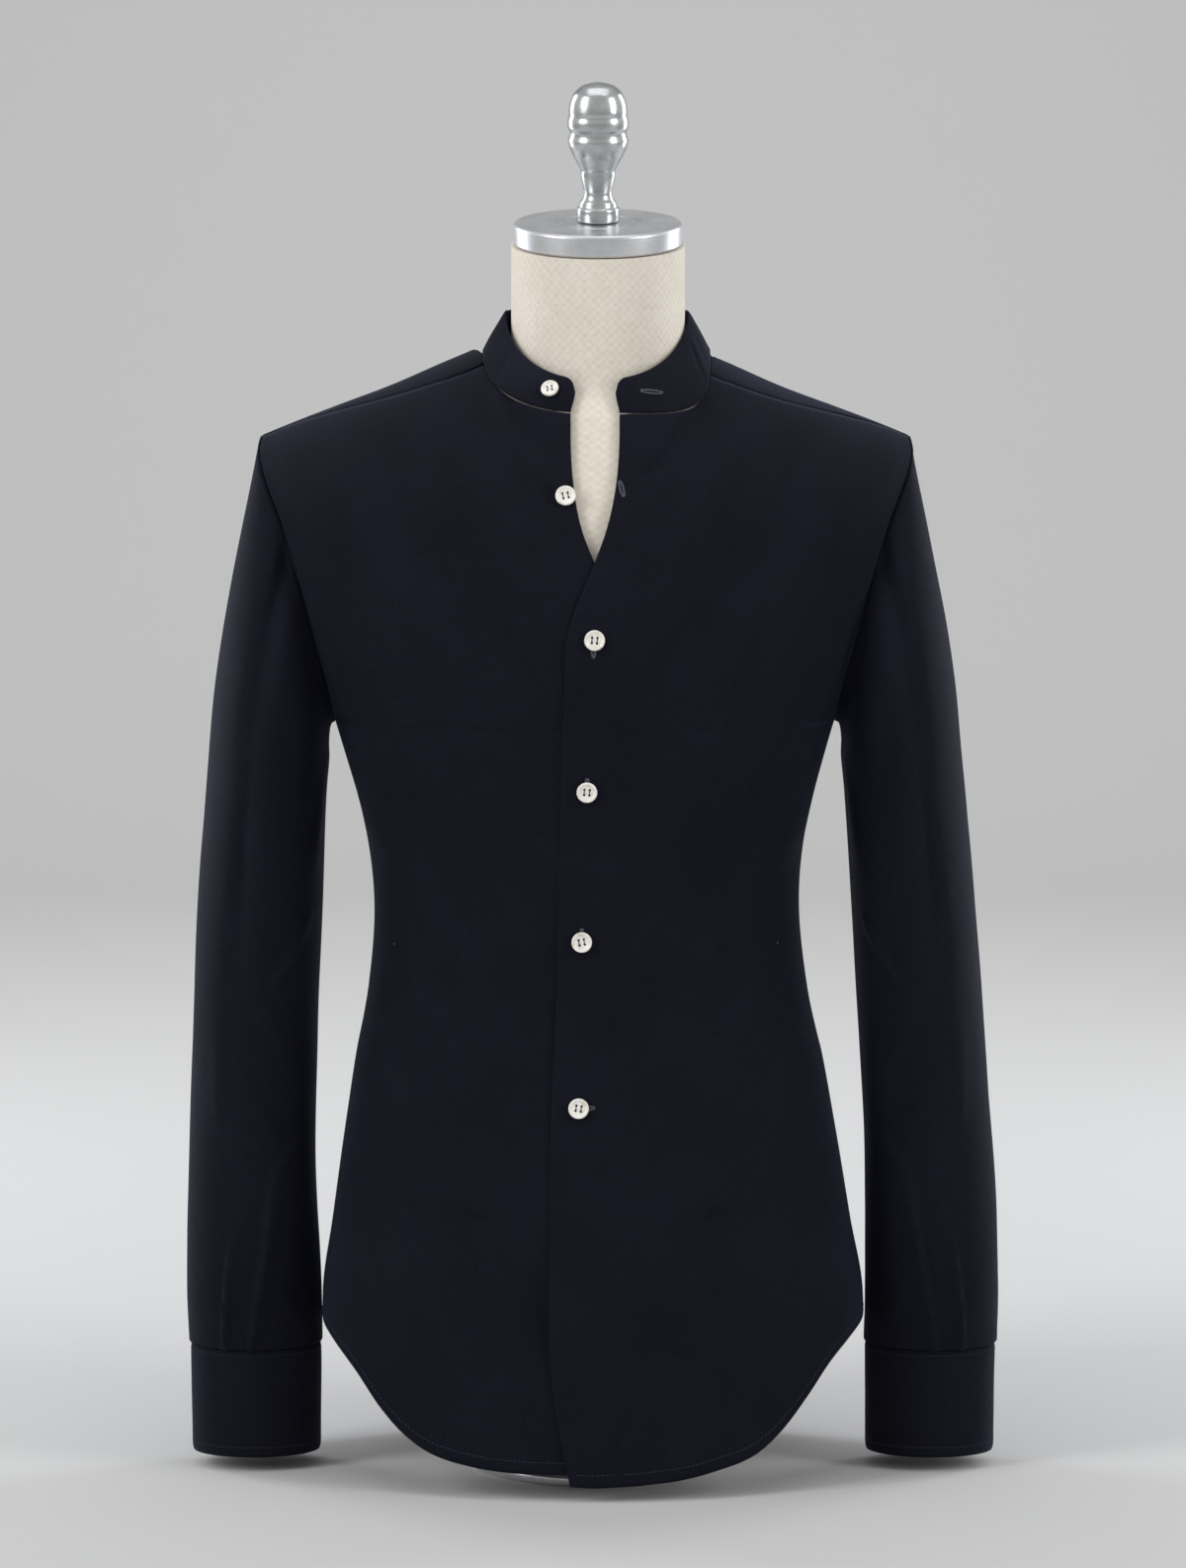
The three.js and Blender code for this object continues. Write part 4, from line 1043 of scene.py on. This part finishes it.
def stitch_run(name, path, normals, length=2.3, pitch=3.1, radius=0.28, lift=0.05, slant=0.0):
    """A run of small sewn stitches along a path of points (mm), each a flattened six-sided bead."""
    path, normals = np.asarray(path), np.asarray(normals)
    gaps = np.linalg.norm(np.diff(path, axis=0), axis=1)
    far = np.concatenate([[0], np.cumsum(gaps)])
    starts = np.arange(pitch / 2, far[-1] - pitch / 2, pitch)

    def along(s, values):
        return np.stack([np.interp(s, far, values[:, i]) for i in range(3)], -1)

    vertices, faces = [], []
    for s in starts:
        middle, normal = along(s, path), along(s, normals)
        tangent = along(s + 0.5, path) - along(s - 0.5, path)
        tangent = tangent / max(np.linalg.norm(tangent), 1e-9)
        normal = normal / max(np.linalg.norm(normal), 1e-9)
        side = np.cross(normal, tangent)
        direction = tangent * math.cos(slant) + side * math.sin(slant)
        cross = np.cross(normal, direction)
        base = len(vertices)
        for share, size in ((-0.5, 0.35), (-0.25, 1.0), (0.25, 1.0), (0.5, 0.35)):
            for k in range(6):
                a = math.pi * k / 3
                offset = cross * math.cos(a) * radius * size + normal * math.sin(a) * radius * 0.8 * size
                vertices.append((middle + direction * length * share + offset + normal * lift) * MM)
        for ring in range(3):
            for k in range(6):
                a, b = base + ring * 6 + k, base + ring * 6 + (k + 1) % 6
                faces.append((a, b, b + 6, a + 6))
        faces.append(tuple(base + k for k in reversed(range(6))))
        faces.append(tuple(base + 18 + k for k in range(6)))
    mesh = bpy.data.meshes.new(name)
    mesh.from_pydata([tuple(v) for v in vertices], [], faces)
    mesh.polygons.foreach_set("use_smooth", [True] * len(mesh.polygons))
    return mesh


def joined(name, meshes):
    bm = bmesh.new()
    for mesh in meshes:
        bm.from_mesh(mesh)
        bpy.data.meshes.remove(mesh)
    result = bpy.data.meshes.new(name)
    bmesh.ops.recalc_face_normals(bm, faces=bm.faces)
    bm.to_mesh(result)
    bm.free()
    result.polygons.foreach_set("use_smooth", [True] * len(result.polygons))
    return bpy.data.objects.new(name, result)


def buttonhole(name, centre, normal, along, length=11.0, width=2.2):
    """Close purled stitches in a narrow oval. The cloth inside it is not cut."""
    n = np.array(normal) / np.linalg.norm(normal)
    d = np.array(along) - n * np.dot(along, n)
    d = d / np.linalg.norm(d)
    side = np.cross(n, d)
    path, count = [], 60
    for k in range(count + 1):
        a = 2 * math.pi * k / count
        path.append(np.array(centre) + d * math.cos(a) * length / 2 + side * math.sin(a) * width / 2)
    return stitch_run(name, path, [n] * (count + 1), 1.5, 0.52, 0.3, 0.25, math.radians(90))


# Settings


class ShirtCloth(bpy.types.PropertyGroup):
    shade: bpy.props.FloatVectorProperty(
        name="Shade", description="Darkest colour of the cloth", size=3, subtype="COLOR",
        default=(0.0008, 0.001, 0.0034), min=0, max=1,
    )
    heather: bpy.props.FloatVectorProperty(
        name="Heather", description="Lightest fibres in the cloth", size=3, subtype="COLOR",
        default=(0.0072, 0.0082, 0.0185), min=0, max=1,
    )
    rib: bpy.props.FloatProperty(
        name="Twill rib", description="Distance between the ribs of the twill",
        subtype="DISTANCE", unit="LENGTH",
        default=0.0009, min=0.0003, max=0.01,
    )


class ShirtStudio(bpy.types.PropertyGroup):
    distance: bpy.props.FloatProperty(
        name="Camera distance", description="From the camera to the middle of the shirt", subtype="DISTANCE",
        unit="LENGTH", default=2.9, min=0.5, max=20,
    )
    elevation: bpy.props.FloatProperty(
        name="Camera elevation", description="How far the camera looks down",
        subtype="ANGLE", unit="ROTATION",
        default=math.radians(4), min=-1.5, max=1.5,
    )
    aim: bpy.props.FloatProperty(
        name="Aim height", description="Height of the point the camera looks at", subtype="DISTANCE",
        unit="LENGTH", default=0.455, min=0, max=3,
    )
    field: bpy.props.FloatProperty(
        name="Height in view", description="Height of the view at the shirt",
        subtype="DISTANCE", unit="LENGTH",
        default=1.0388, min=0.1, max=5,
    )
    key: bpy.props.FloatProperty(
        name="Key light", description="Power of the large lamps",
        subtype="POWER", unit="POWER", default=16, min=0,
    )


def area_light(name, place_at, aim, size, power, colour=(1, 1, 1)):
    lamp = bpy.data.lights.new(name, "AREA")
    lamp.shape = "RECTANGLE"
    lamp.size, lamp.size_y = size
    lamp.energy = power
    lamp.color = colour
    light = bpy.data.objects.new(name, lamp)
    light.location = place_at
    light.rotation_euler = (Vector(aim) - Vector(place_at)).to_track_quat("-Z", "Y").to_euler()
    bpy.context.scene.collection.objects.link(light)


class SHIRT_OT_studio(bpy.types.Operator):
    """Camera, pale floor that sweeps up behind, and soft lamps"""

    bl_idname = "shirt.studio"
    bl_label = "Studio"

    def execute(self, context):
        studio = context.scene.shirt_studio
        lens = bpy.data.cameras.new("camera")
        lens.sensor_fit = "VERTICAL"
        lens.sensor_height = 36
        lens.lens = lens.sensor_height * studio.distance / studio.field
        lens.clip_end = 50
        camera = bpy.data.objects.new("camera", lens)
        e = studio.elevation
        camera.location = (0, -studio.distance * math.cos(e), studio.aim + studio.distance * math.sin(e))
        camera.rotation_euler = (math.pi / 2 - e, 0, 0)
        context.scene.collection.objects.link(camera)
        context.scene.camera = camera
        self.sweep(context)
        aim = (0, 0, 0.45)
        area_light("key_left", (-2.7, -1.7, 2.0), aim, (1.0, 2.2), studio.key * 3.4)
        area_light("key_right", (2.8, -1.5, 1.7), aim, (1.0, 2.2), studio.key * 2.4)
        area_light("rim_left", (-1.9, 1.3, 1.2), aim, (0.7, 2.0), studio.key * 1.3, (0.92, 0.95, 1))
        area_light("rim_right", (1.9, 1.3, 1.2), aim, (0.7, 2.0), studio.key * 1.3, (0.92, 0.95, 1))
        area_light("top", (0, -0.3, 3.0), aim, (2.2, 1.6), studio.key * 0.7)
        area_light("backdrop", (0, 1.8, 3.6), (0, 6.5, 0.9), (5.0, 1.6), studio.key * 5.5)
        world = bpy.data.worlds.new("studio")
        world.use_nodes = True
        world.node_tree.nodes["Background"].inputs["Color"].default_value = (0.92, 0.92, 0.92, 1)
        world.node_tree.nodes["Background"].inputs["Strength"].default_value = 0.62
        context.scene.world = world
        context.scene.view_settings.view_transform = "Standard"
        return {"FINISHED"}

    def sweep(self, context):
        """Floor and backdrop in one smooth curved sheet."""
        half, front, back, bend, top = 14.0, -9.0, 4.0, 2.5, 9.0
        profile = [(front, 0.0), (back, 0.0)]
        for k in range(1, 17):
            a = math.pi / 2 * k / 16
            profile.append((back + bend * math.sin(a), bend * (1 - math.cos(a))))
        profile.append((back + bend, top))
        vertices = [(x, y, z) for y, z in profile for x in (-half, half)]
        faces = [(2 * i, 2 * i + 1, 2 * i + 3, 2 * i + 2) for i in range(len(profile) - 1)]
        mesh = bpy.data.meshes.new("floor")
        mesh.from_pydata(vertices, [], faces)
        mesh.polygons.foreach_set("use_smooth", [True] * len(mesh.polygons))
        floor = bpy.data.objects.new("floor", mesh)
        paper = bpy.data.materials.new("Studio paper")
        paper.use_nodes = True
        shader = paper.node_tree.nodes["Principled BSDF"]
        shader.inputs["Base Color"].default_value = (0.56, 0.56, 0.56, 1)
        shader.inputs["Roughness"].default_value = 1.0
        shader.inputs["Specular IOR Level"].default_value = 0.0
        mesh.materials.append(paper)
        context.scene.collection.objects.link(floor)


GRIDS = {}


def grid(name, maker):
    """Keeps each finished grid, because trims are laid on the same points."""
    if name not in GRIDS:
        GRIDS[name] = maker()
    return GRIDS[name]


def face_of(name, facing):
    """Outer points (mm) and outward directions of a grid that is already cut."""
    points, raised = GRIDS[name]
    normal = facing * directions(points, False)
    return points + normal * raised[..., None], normal


class SHIRT_OT_fronts(bpy.types.Operator):
    """Both front panels, with folded edges, faint facing lines and soft creases"""

    bl_idname = "shirt.fronts"
    bl_label = "Fronts"

    def execute(self, context):
        cloth = materials()["Navy brushed cotton"]
        for node, side in (("front_right", -1), ("front_left", 1)):
            points, raised = grid(node, lambda s=side: front_grid(s))
            piece = wall_mesh(node + "_cloth", points, raised, facing=side)
            place(piece, cloth, "shirt_cloth", node)
        return {"FINISHED"}


class SHIRT_OT_back(bpy.types.Operator):
    """Back panel and the yoke over the shoulders"""

    bl_idname = "shirt.back"
    bl_label = "Back and yoke"

    def execute(self, context):
        cloth = materials()["Navy brushed cotton"]
        points, raised = grid("back", back_grid)
        piece = wall_mesh("back_cloth", points, raised, facing=-1)
        place(piece, cloth, "shirt_cloth", "back")
        points, raised = grid("yoke", yoke_grid)
        piece = wall_mesh("yoke_cloth", points, raised, facing=-1)
        place(piece, cloth, "shirt_cloth", "yoke")
        return {"FINISHED"}


class SHIRT_OT_band(bpy.types.Operator):
    """Stand-up collar band with rounded ends"""

    bl_idname = "shirt.band"
    bl_label = "Collar band"

    def execute(self, context):
        points, raised = grid("band", band_grid)
        piece = wall_mesh("collar_band_cloth", points, raised, thick=1.3, facing=-1)
        place(piece, materials()["Navy brushed cotton"], "shirt_cloth", "collar_band")
        return {"FINISHED"}


class SHIRT_OT_sleeves(bpy.types.Operator):
    """Sleeves with their pressed crease and cuff pleats, plackets and buttoned cuffs"""

    bl_idname = "shirt.sleeves"
    bl_label = "Sleeves and cuffs"

    def execute(self, context):
        cloth = materials()["Navy brushed cotton"]
        for name, side in (("right", -1), ("left", 1)):
            points, raised = grid("sleeve_" + name, lambda s=side: sleeve_grid(s))
            piece = wall_mesh(f"sleeve_{name}_cloth", points, raised, closed=True, facing=-side)
            place(piece, cloth, "shirt_cloth", "sleeve_" + name)
            points, raised = grid("cuff_" + name, lambda s=side: cuff_grid(s))
            piece = wall_mesh(f"cuff_{name}_cloth", points, raised, thick=1.3, facing=-side)
            place(piece, cloth, "shirt_cloth", "cuff_" + name)
            self.placket(cloth, name, side)
        return {"FINISHED"}

    def placket(self, cloth, name, side):
        """A strip on the back of the sleeve, over the opening above the cuff."""
        rows, columns = 70, 16
        ring = np.linspace(10.2, 14.8, rows)[:, None] * np.ones((1, columns))
        angle = np.linspace(240, 270, columns)[None, :] * np.ones((rows, 1))
        points = sleeve_points(side, ring, angle)
        raised = fold_raise(SLEEVE_FOLDS, angle, points[..., 2]) + CLOTH + LAYER + PLACKET_EASE
        raised += drape(angle * 0.9, points[..., 2], 3.0 + side) * smooth((points[..., 2] - 84) / 20)
        piece = wall_mesh(f"placket_{name}_cloth", points, raised, thick=0.9, facing=-side)
        place(piece, cloth, "shirt_cloth", "placket_" + name)


class SHIRT_OT_buttons(bpy.types.Operator):
    """Four-hole buttons down the front, on the band and on the cuffs"""

    bl_idname = "shirt.buttons"
    bl_label = "Buttons"

    def execute(self, context):
        mesh = button_mesh()
        for name, x, z, over in FRONT_BUTTONS:
            node = "front_left" if over else "front_right"
            outer, normal = face_of(node, 1 if over else -1)
            at = nearest(GRIDS[node][0], x, z)
            self.sew(mesh, name, outer[at] * MM, normal[at], 0.5, 1.0)
        points = GRIDS["band"][0]
        outer, normal = face_of("band", -1)
        spot = band_points(np.array([[COLLAR_BUTTON]]), np.array([[0.5]]))[0, 0]
        row, col = nearest(points, spot[0], spot[2])
        at = (row, min(col, points.shape[1] // 3))
        self.sew(mesh, "button_collar", outer[at] * MM, normal[at], 0.5, SMALL)
        for name, side in (("right", -1), ("left", 1)):
            outer, normal = face_of("cuff_" + name, -side)
            rows, columns = outer.shape[:2]
            share = (CUFF_BUTTON + 360 - CUFF["start"]) / (360 + CUFF["lap"])
            at = (rows // 2, int(round(share * (columns - 1))))
            self.sew(mesh, "button_cuff_" + name, outer[at] * MM, normal[at], 0.4, SMALL)
        return {"FINISHED"}

    def sew(self, mesh, node, spot, normal, lift, scale):
        piece = bpy.data.objects.new(node + "_pearl", mesh.copy())
        turn = Matrix.Rotation(math.radians(12 * math.sin(spot[2] * 90)), 4, "Z")
        at = stand_on(Vector(spot) + Vector(normal) * lift * MM, normal) @ turn @ Matrix.Scale(scale, 4)
        piece.data.transform(at)
        place(piece, materials()["Mother of pearl"], "pearl", node)
        self.shank(node, at)

    def shank(self, node, at):
        """Two stitches of thread laid over the holes, one down each side."""
        runs = []
        for x in (-HOLE_SPREAD, HOLE_SPREAD):
            path = [(x, y, 1.72) for y in np.linspace(-2.3, 2.3, 12)]
            runs.append(stitch_run("thread", path, [(0, 0, 1)] * 12, 3.8, 4.0, 0.34))
        piece = joined(node + "_thread", runs)
        piece.data.transform(at)
        place(piece, materials()["Navy thread"], "shirt_cloth")


class SHIRT_OT_sewing(bpy.types.Operator):
    """Hem stitching, seam stitching and purled buttonholes"""

    bl_idname = "shirt.sewing"
    bl_label = "Stitches and buttonholes"

    def execute(self, context):
        thread = materials()["Navy thread"]
        for node, facing in (("front_right", -1), ("front_left", 1), ("back", -1)):
            outer, normal = face_of(node, facing)
            hem = outer[0] + (outer[6] - outer[0]) * 0.42
            piece = joined(node + "_hem_stitches", [stitch_run("hem", hem[2:-2], normal[2][2:-2])])
            place(piece, thread, "shirt_cloth")
        outer, normal = face_of("yoke", -1)
        runs = [stitch_run("yoke", outer[1][4:-4], normal[1][4:-4])]
        piece = joined("yoke_stitches", runs)
        place(piece, thread, "shirt_cloth")
        for name, side in (("right", -1), ("left", 1)):
            outer, normal = face_of("cuff_" + name, -side)
            runs = [stitch_run("cuff", outer[k][3:-3], normal[k][3:-3], 2.0, 2.7, 0.2) for k in (3, -3)]
            piece = joined(f"cuff_{name}_stitches", runs)
            place(piece, thread, "shirt_cloth")
        self.buttonholes()
        return {"FINISHED"}

    def buttonholes(self):
        holes = []
        outer, normal = face_of("front_left", 1)
        for x, z, along in (
            (17.6, 650.0, (-0.22, 0, 1)),
            (0.6, 549.0, (0, 0, 1)),
            (-4.6, 461.0, (0, 0, 1)),
            (-7.2, 364.5, (0, 0, 1)),
            (-5.0, 253.6, (1, 0, 0.1)),
        ):
            spot = nearest(GRIDS["front_left"][0], x, z)
            holes.append(buttonhole("hole", outer[spot], normal[spot], along))
        outer, normal = face_of("band", -1)
        row = GRIDS["band"][0][BAND_MIDDLE_ROW]
        at = (BAND_MIDDLE_ROW, int(np.argmin(np.abs(row[:, 0] - 38) + (row[:, 1] > 0) * 900)))
        holes.append(buttonhole("hole", outer[at], normal[at], (1, 0.3, -0.1), 15.0, 2.4))
        piece = joined("buttonhole_stitches", holes)
        place(piece, materials()["Buttonhole thread"], "shirt_cloth")


def form_radius(z, angle, inset):
    inside, outside = np.zeros(z.shape), np.full(z.shape, 260.0)
    for _ in range(30):
        r = (inside + outside) / 2
        x = FORM_NECK["x"] + r * np.cos(angle)
        y = FORM_NECK["y"] + r * np.sin(angle)
        sign = np.where(y < 0, -1.0, 1.0)
        wide = np.where(z > ARMPIT, armhole_x(np.minimum(z, SHOULDER_TIP)), read(BODY, "z", "side", z))
        past = np.abs(x - read(BODY, "z", "centre", z)) > wide - inset
        ok = (~past) & (np.abs(y) <= body_depth(x, z, sign, inset))
        inside, outside = np.where(ok, r, inside), np.where(ok, outside, r)
    return inside


class SHIRT_OT_form(bpy.types.Operator):
    """Linen-covered dress form with its neck"""

    bl_idname = "shirt.form"
    bl_label = "Dress form"

    def execute(self, context):
        columns = 160
        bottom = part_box("form")[0][2] / MM
        spans = ((bottom, 620, 60), (625, 744, 50), (748, FORM_NECK["top"], 24))
        heights = np.concatenate([np.linspace(*span) for span in spans])
        z = heights[:, None] * np.ones((1, columns))
        angle = ((np.arange(columns) + 0.5) * 2 * np.pi / columns)[None, :] * np.ones((len(heights), 1))
        low = lerp(6.0, 3.9, smooth((z - 560) / 90))
        inset = low + 14 * smooth((z - 700) / 45)
        body = np.where(z < 772, form_radius(z, angle, inset), 0)
        neck = np.where(z > 640, FORM_NECK["radius"], 0)
        blend = 6.0
        gap = np.clip(0.5 + (body - neck) / (2 * blend), 0, 1)
        radius = lerp(neck, body, gap) + blend * gap * (1 - gap)
        y = FORM_NECK["y"] + radius * np.sin(angle)
        lean = math.tan(FORM_NECK["tilt"]) * smooth((z - 735) / (FORM_NECK["top"] - 735))
        points = np.stack([FORM_NECK["x"] + radius * np.cos(angle), y, z + lean * y], axis=-1)
        rows = len(heights)
        vertices = points.reshape(-1, 3) * MM
        faces = []
        for r in range(rows - 1):
            for c in range(columns):
                n = (c + 1) % columns
                faces.append((r * columns + c, r * columns + n, (r + 1) * columns + n, (r + 1) * columns + c))
        faces.append(tuple(reversed(range(columns))))
        faces.append(tuple((rows - 1) * columns + c for c in range(columns)))
        mesh = bpy.data.meshes.new("form_linen")
        mesh.from_pydata(vertices.tolist(), [], faces)
        layer = mesh.uv_layers.new(name="cloth")
        around = (angle * FORM_NECK["radius"] * MM).ravel()
        flat = np.stack([around, vertices[:, 2]], 1)
        loops = np.empty(len(mesh.loops), dtype=np.int32)
        mesh.loops.foreach_get("vertex_index", loops)
        layer.data.foreach_set("uv", flat[loops].ravel())
        mesh.polygons.foreach_set("use_smooth", [True] * len(mesh.polygons))
        mesh.set_sharp_from_angle(angle=math.radians(50))
        piece = bpy.data.objects.new("form_linen", mesh)
        place(piece, materials()["Form linen"], "form_linen", "form")
        return {"FINISHED"}


CAP_PROFILE = [
    (0, 0.3), (54, 0.3), (55.5, 1.6), (55.5, 13.4), (54, 15),
    (28.5, 15), (27.5, 14.2), (25, 14.2), (24, 15), (0, 15),
]
KNOB_PROFILE = [
    (0, 0), (14, 0), (14, 9), (12.4, 10.4), (12, 13), (9.6, 16), (9, 19),
    (10.2, 24), (11.4, 30), (11.2, 33.5),
    (13.6, 38), (17, 44), (19.4, 50), (20, 54), (18.8, 56.5), (18.6, 59), (20.2, 62), (20, 67), (19, 69.5),
    (19.4, 72), (18.6, 78), (16, 84), (11, 88.5), (5, 90.5), (0, 91),
]


class SHIRT_OT_metal(bpy.types.Operator):
    """Neck cap, knob, post and round foot"""

    bl_idname = "shirt.metal"
    bl_label = "Cap, knob and stand"

    def execute(self, context):
        tilt = FORM_NECK["tilt"]
        neck_x, neck_y = FORM_NECK["x"], FORM_NECK["y"]
        middle = Vector((neck_x, neck_y, FORM_NECK["top"] + neck_y * math.tan(tilt))) * MM
        head = Matrix.Translation(middle) @ Matrix.Rotation(tilt, 4, "X")
        shine = materials()
        cap = bpy.data.objects.new("neck_cap_metal", lathe("neck_cap_metal", rounded(CAP_PROFILE, 0.8), 160))
        self.seat(cap, head, shine["Turned aluminium"], "brushed_metal", "neck_cap")
        knob = bpy.data.objects.new("knob_metal", lathe("knob_metal", rounded(KNOB_PROFILE, 2.2, 3), 96, 60))
        up = head @ Matrix.Translation((0, 0, 15.3 * MM))
        self.seat(knob, up, shine["Cast aluminium"], "polished_metal", "knob")
        low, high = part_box("stand_post")
        radius = (high[0] - low[0]) / 2 / MM
        span = [(0, low[2] / MM), (radius, low[2] / MM), (radius, high[2] / MM), (0, high[2] / MM)]
        post = bpy.data.objects.new("stand_post_metal", lathe("stand_post_metal", rounded(span, 0.6), 64))
        self.seat(post, Matrix.Identity(4), shine["Turned aluminium"], "stand_metal", "stand_post")
        low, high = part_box("stand_foot")
        radius = (high[0] - low[0]) / 2 / MM
        tall = high[2] / MM
        disc = [(0, 0), (radius, 0), (radius, tall - 2), (radius - 2, tall), (20, tall), (0, tall)]
        foot = bpy.data.objects.new("stand_foot_metal", lathe("stand_foot_metal", rounded(disc, 0.8), 128))
        middle = Matrix.Translation((0, (low[1] + high[1]) / 2, 0))
        self.seat(foot, middle, shine["Turned aluminium"], "stand_metal", "stand_foot")
        return {"FINISHED"}

    def seat(self, piece, at, material, slot, node):
        piece.matrix_world = at
        place(piece, material, slot, node)


STEPS = (
    SHIRT_OT_studio,
    SHIRT_OT_fronts,
    SHIRT_OT_back,
    SHIRT_OT_band,
    SHIRT_OT_sleeves,
    SHIRT_OT_buttons,
    SHIRT_OT_sewing,
    SHIRT_OT_form,
    SHIRT_OT_metal,
)


class SHIRT_PT_panel(bpy.types.Panel):
    """Lists the steps that build the shirt"""

    bl_idname = "SHIRT_PT_panel"
    bl_label = "Band collar shirt"
    bl_space_type = "VIEW_3D"
    bl_region_type = "UI"
    bl_category = "Shirt"

    def draw(self, context):
        layout = self.layout
        for name in ("shirt_cloth", "shirt_studio"):
            settings = getattr(context.scene, name)
            box = layout.box()
            for key in settings.__annotations__:
                box.prop(settings, key)
        for step in STEPS:
            layout.operator(step.bl_idname)


CLASSES = (ShirtCloth, ShirtStudio, *STEPS, SHIRT_PT_panel)


def register():
    for item in CLASSES:
        bpy.utils.register_class(item)
    bpy.types.Scene.shirt_cloth = bpy.props.PointerProperty(type=ShirtCloth)
    bpy.types.Scene.shirt_studio = bpy.props.PointerProperty(type=ShirtStudio)


def unregister():
    del bpy.types.Scene.shirt_cloth
    del bpy.types.Scene.shirt_studio
    for item in reversed(CLASSES):
        bpy.utils.unregister_class(item)


def main():
    register()
    for step in STEPS:
        group, name = step.bl_idname.split(".")
        getattr(getattr(bpy.ops, group), name)()


if __name__ == "__main__":
    main()
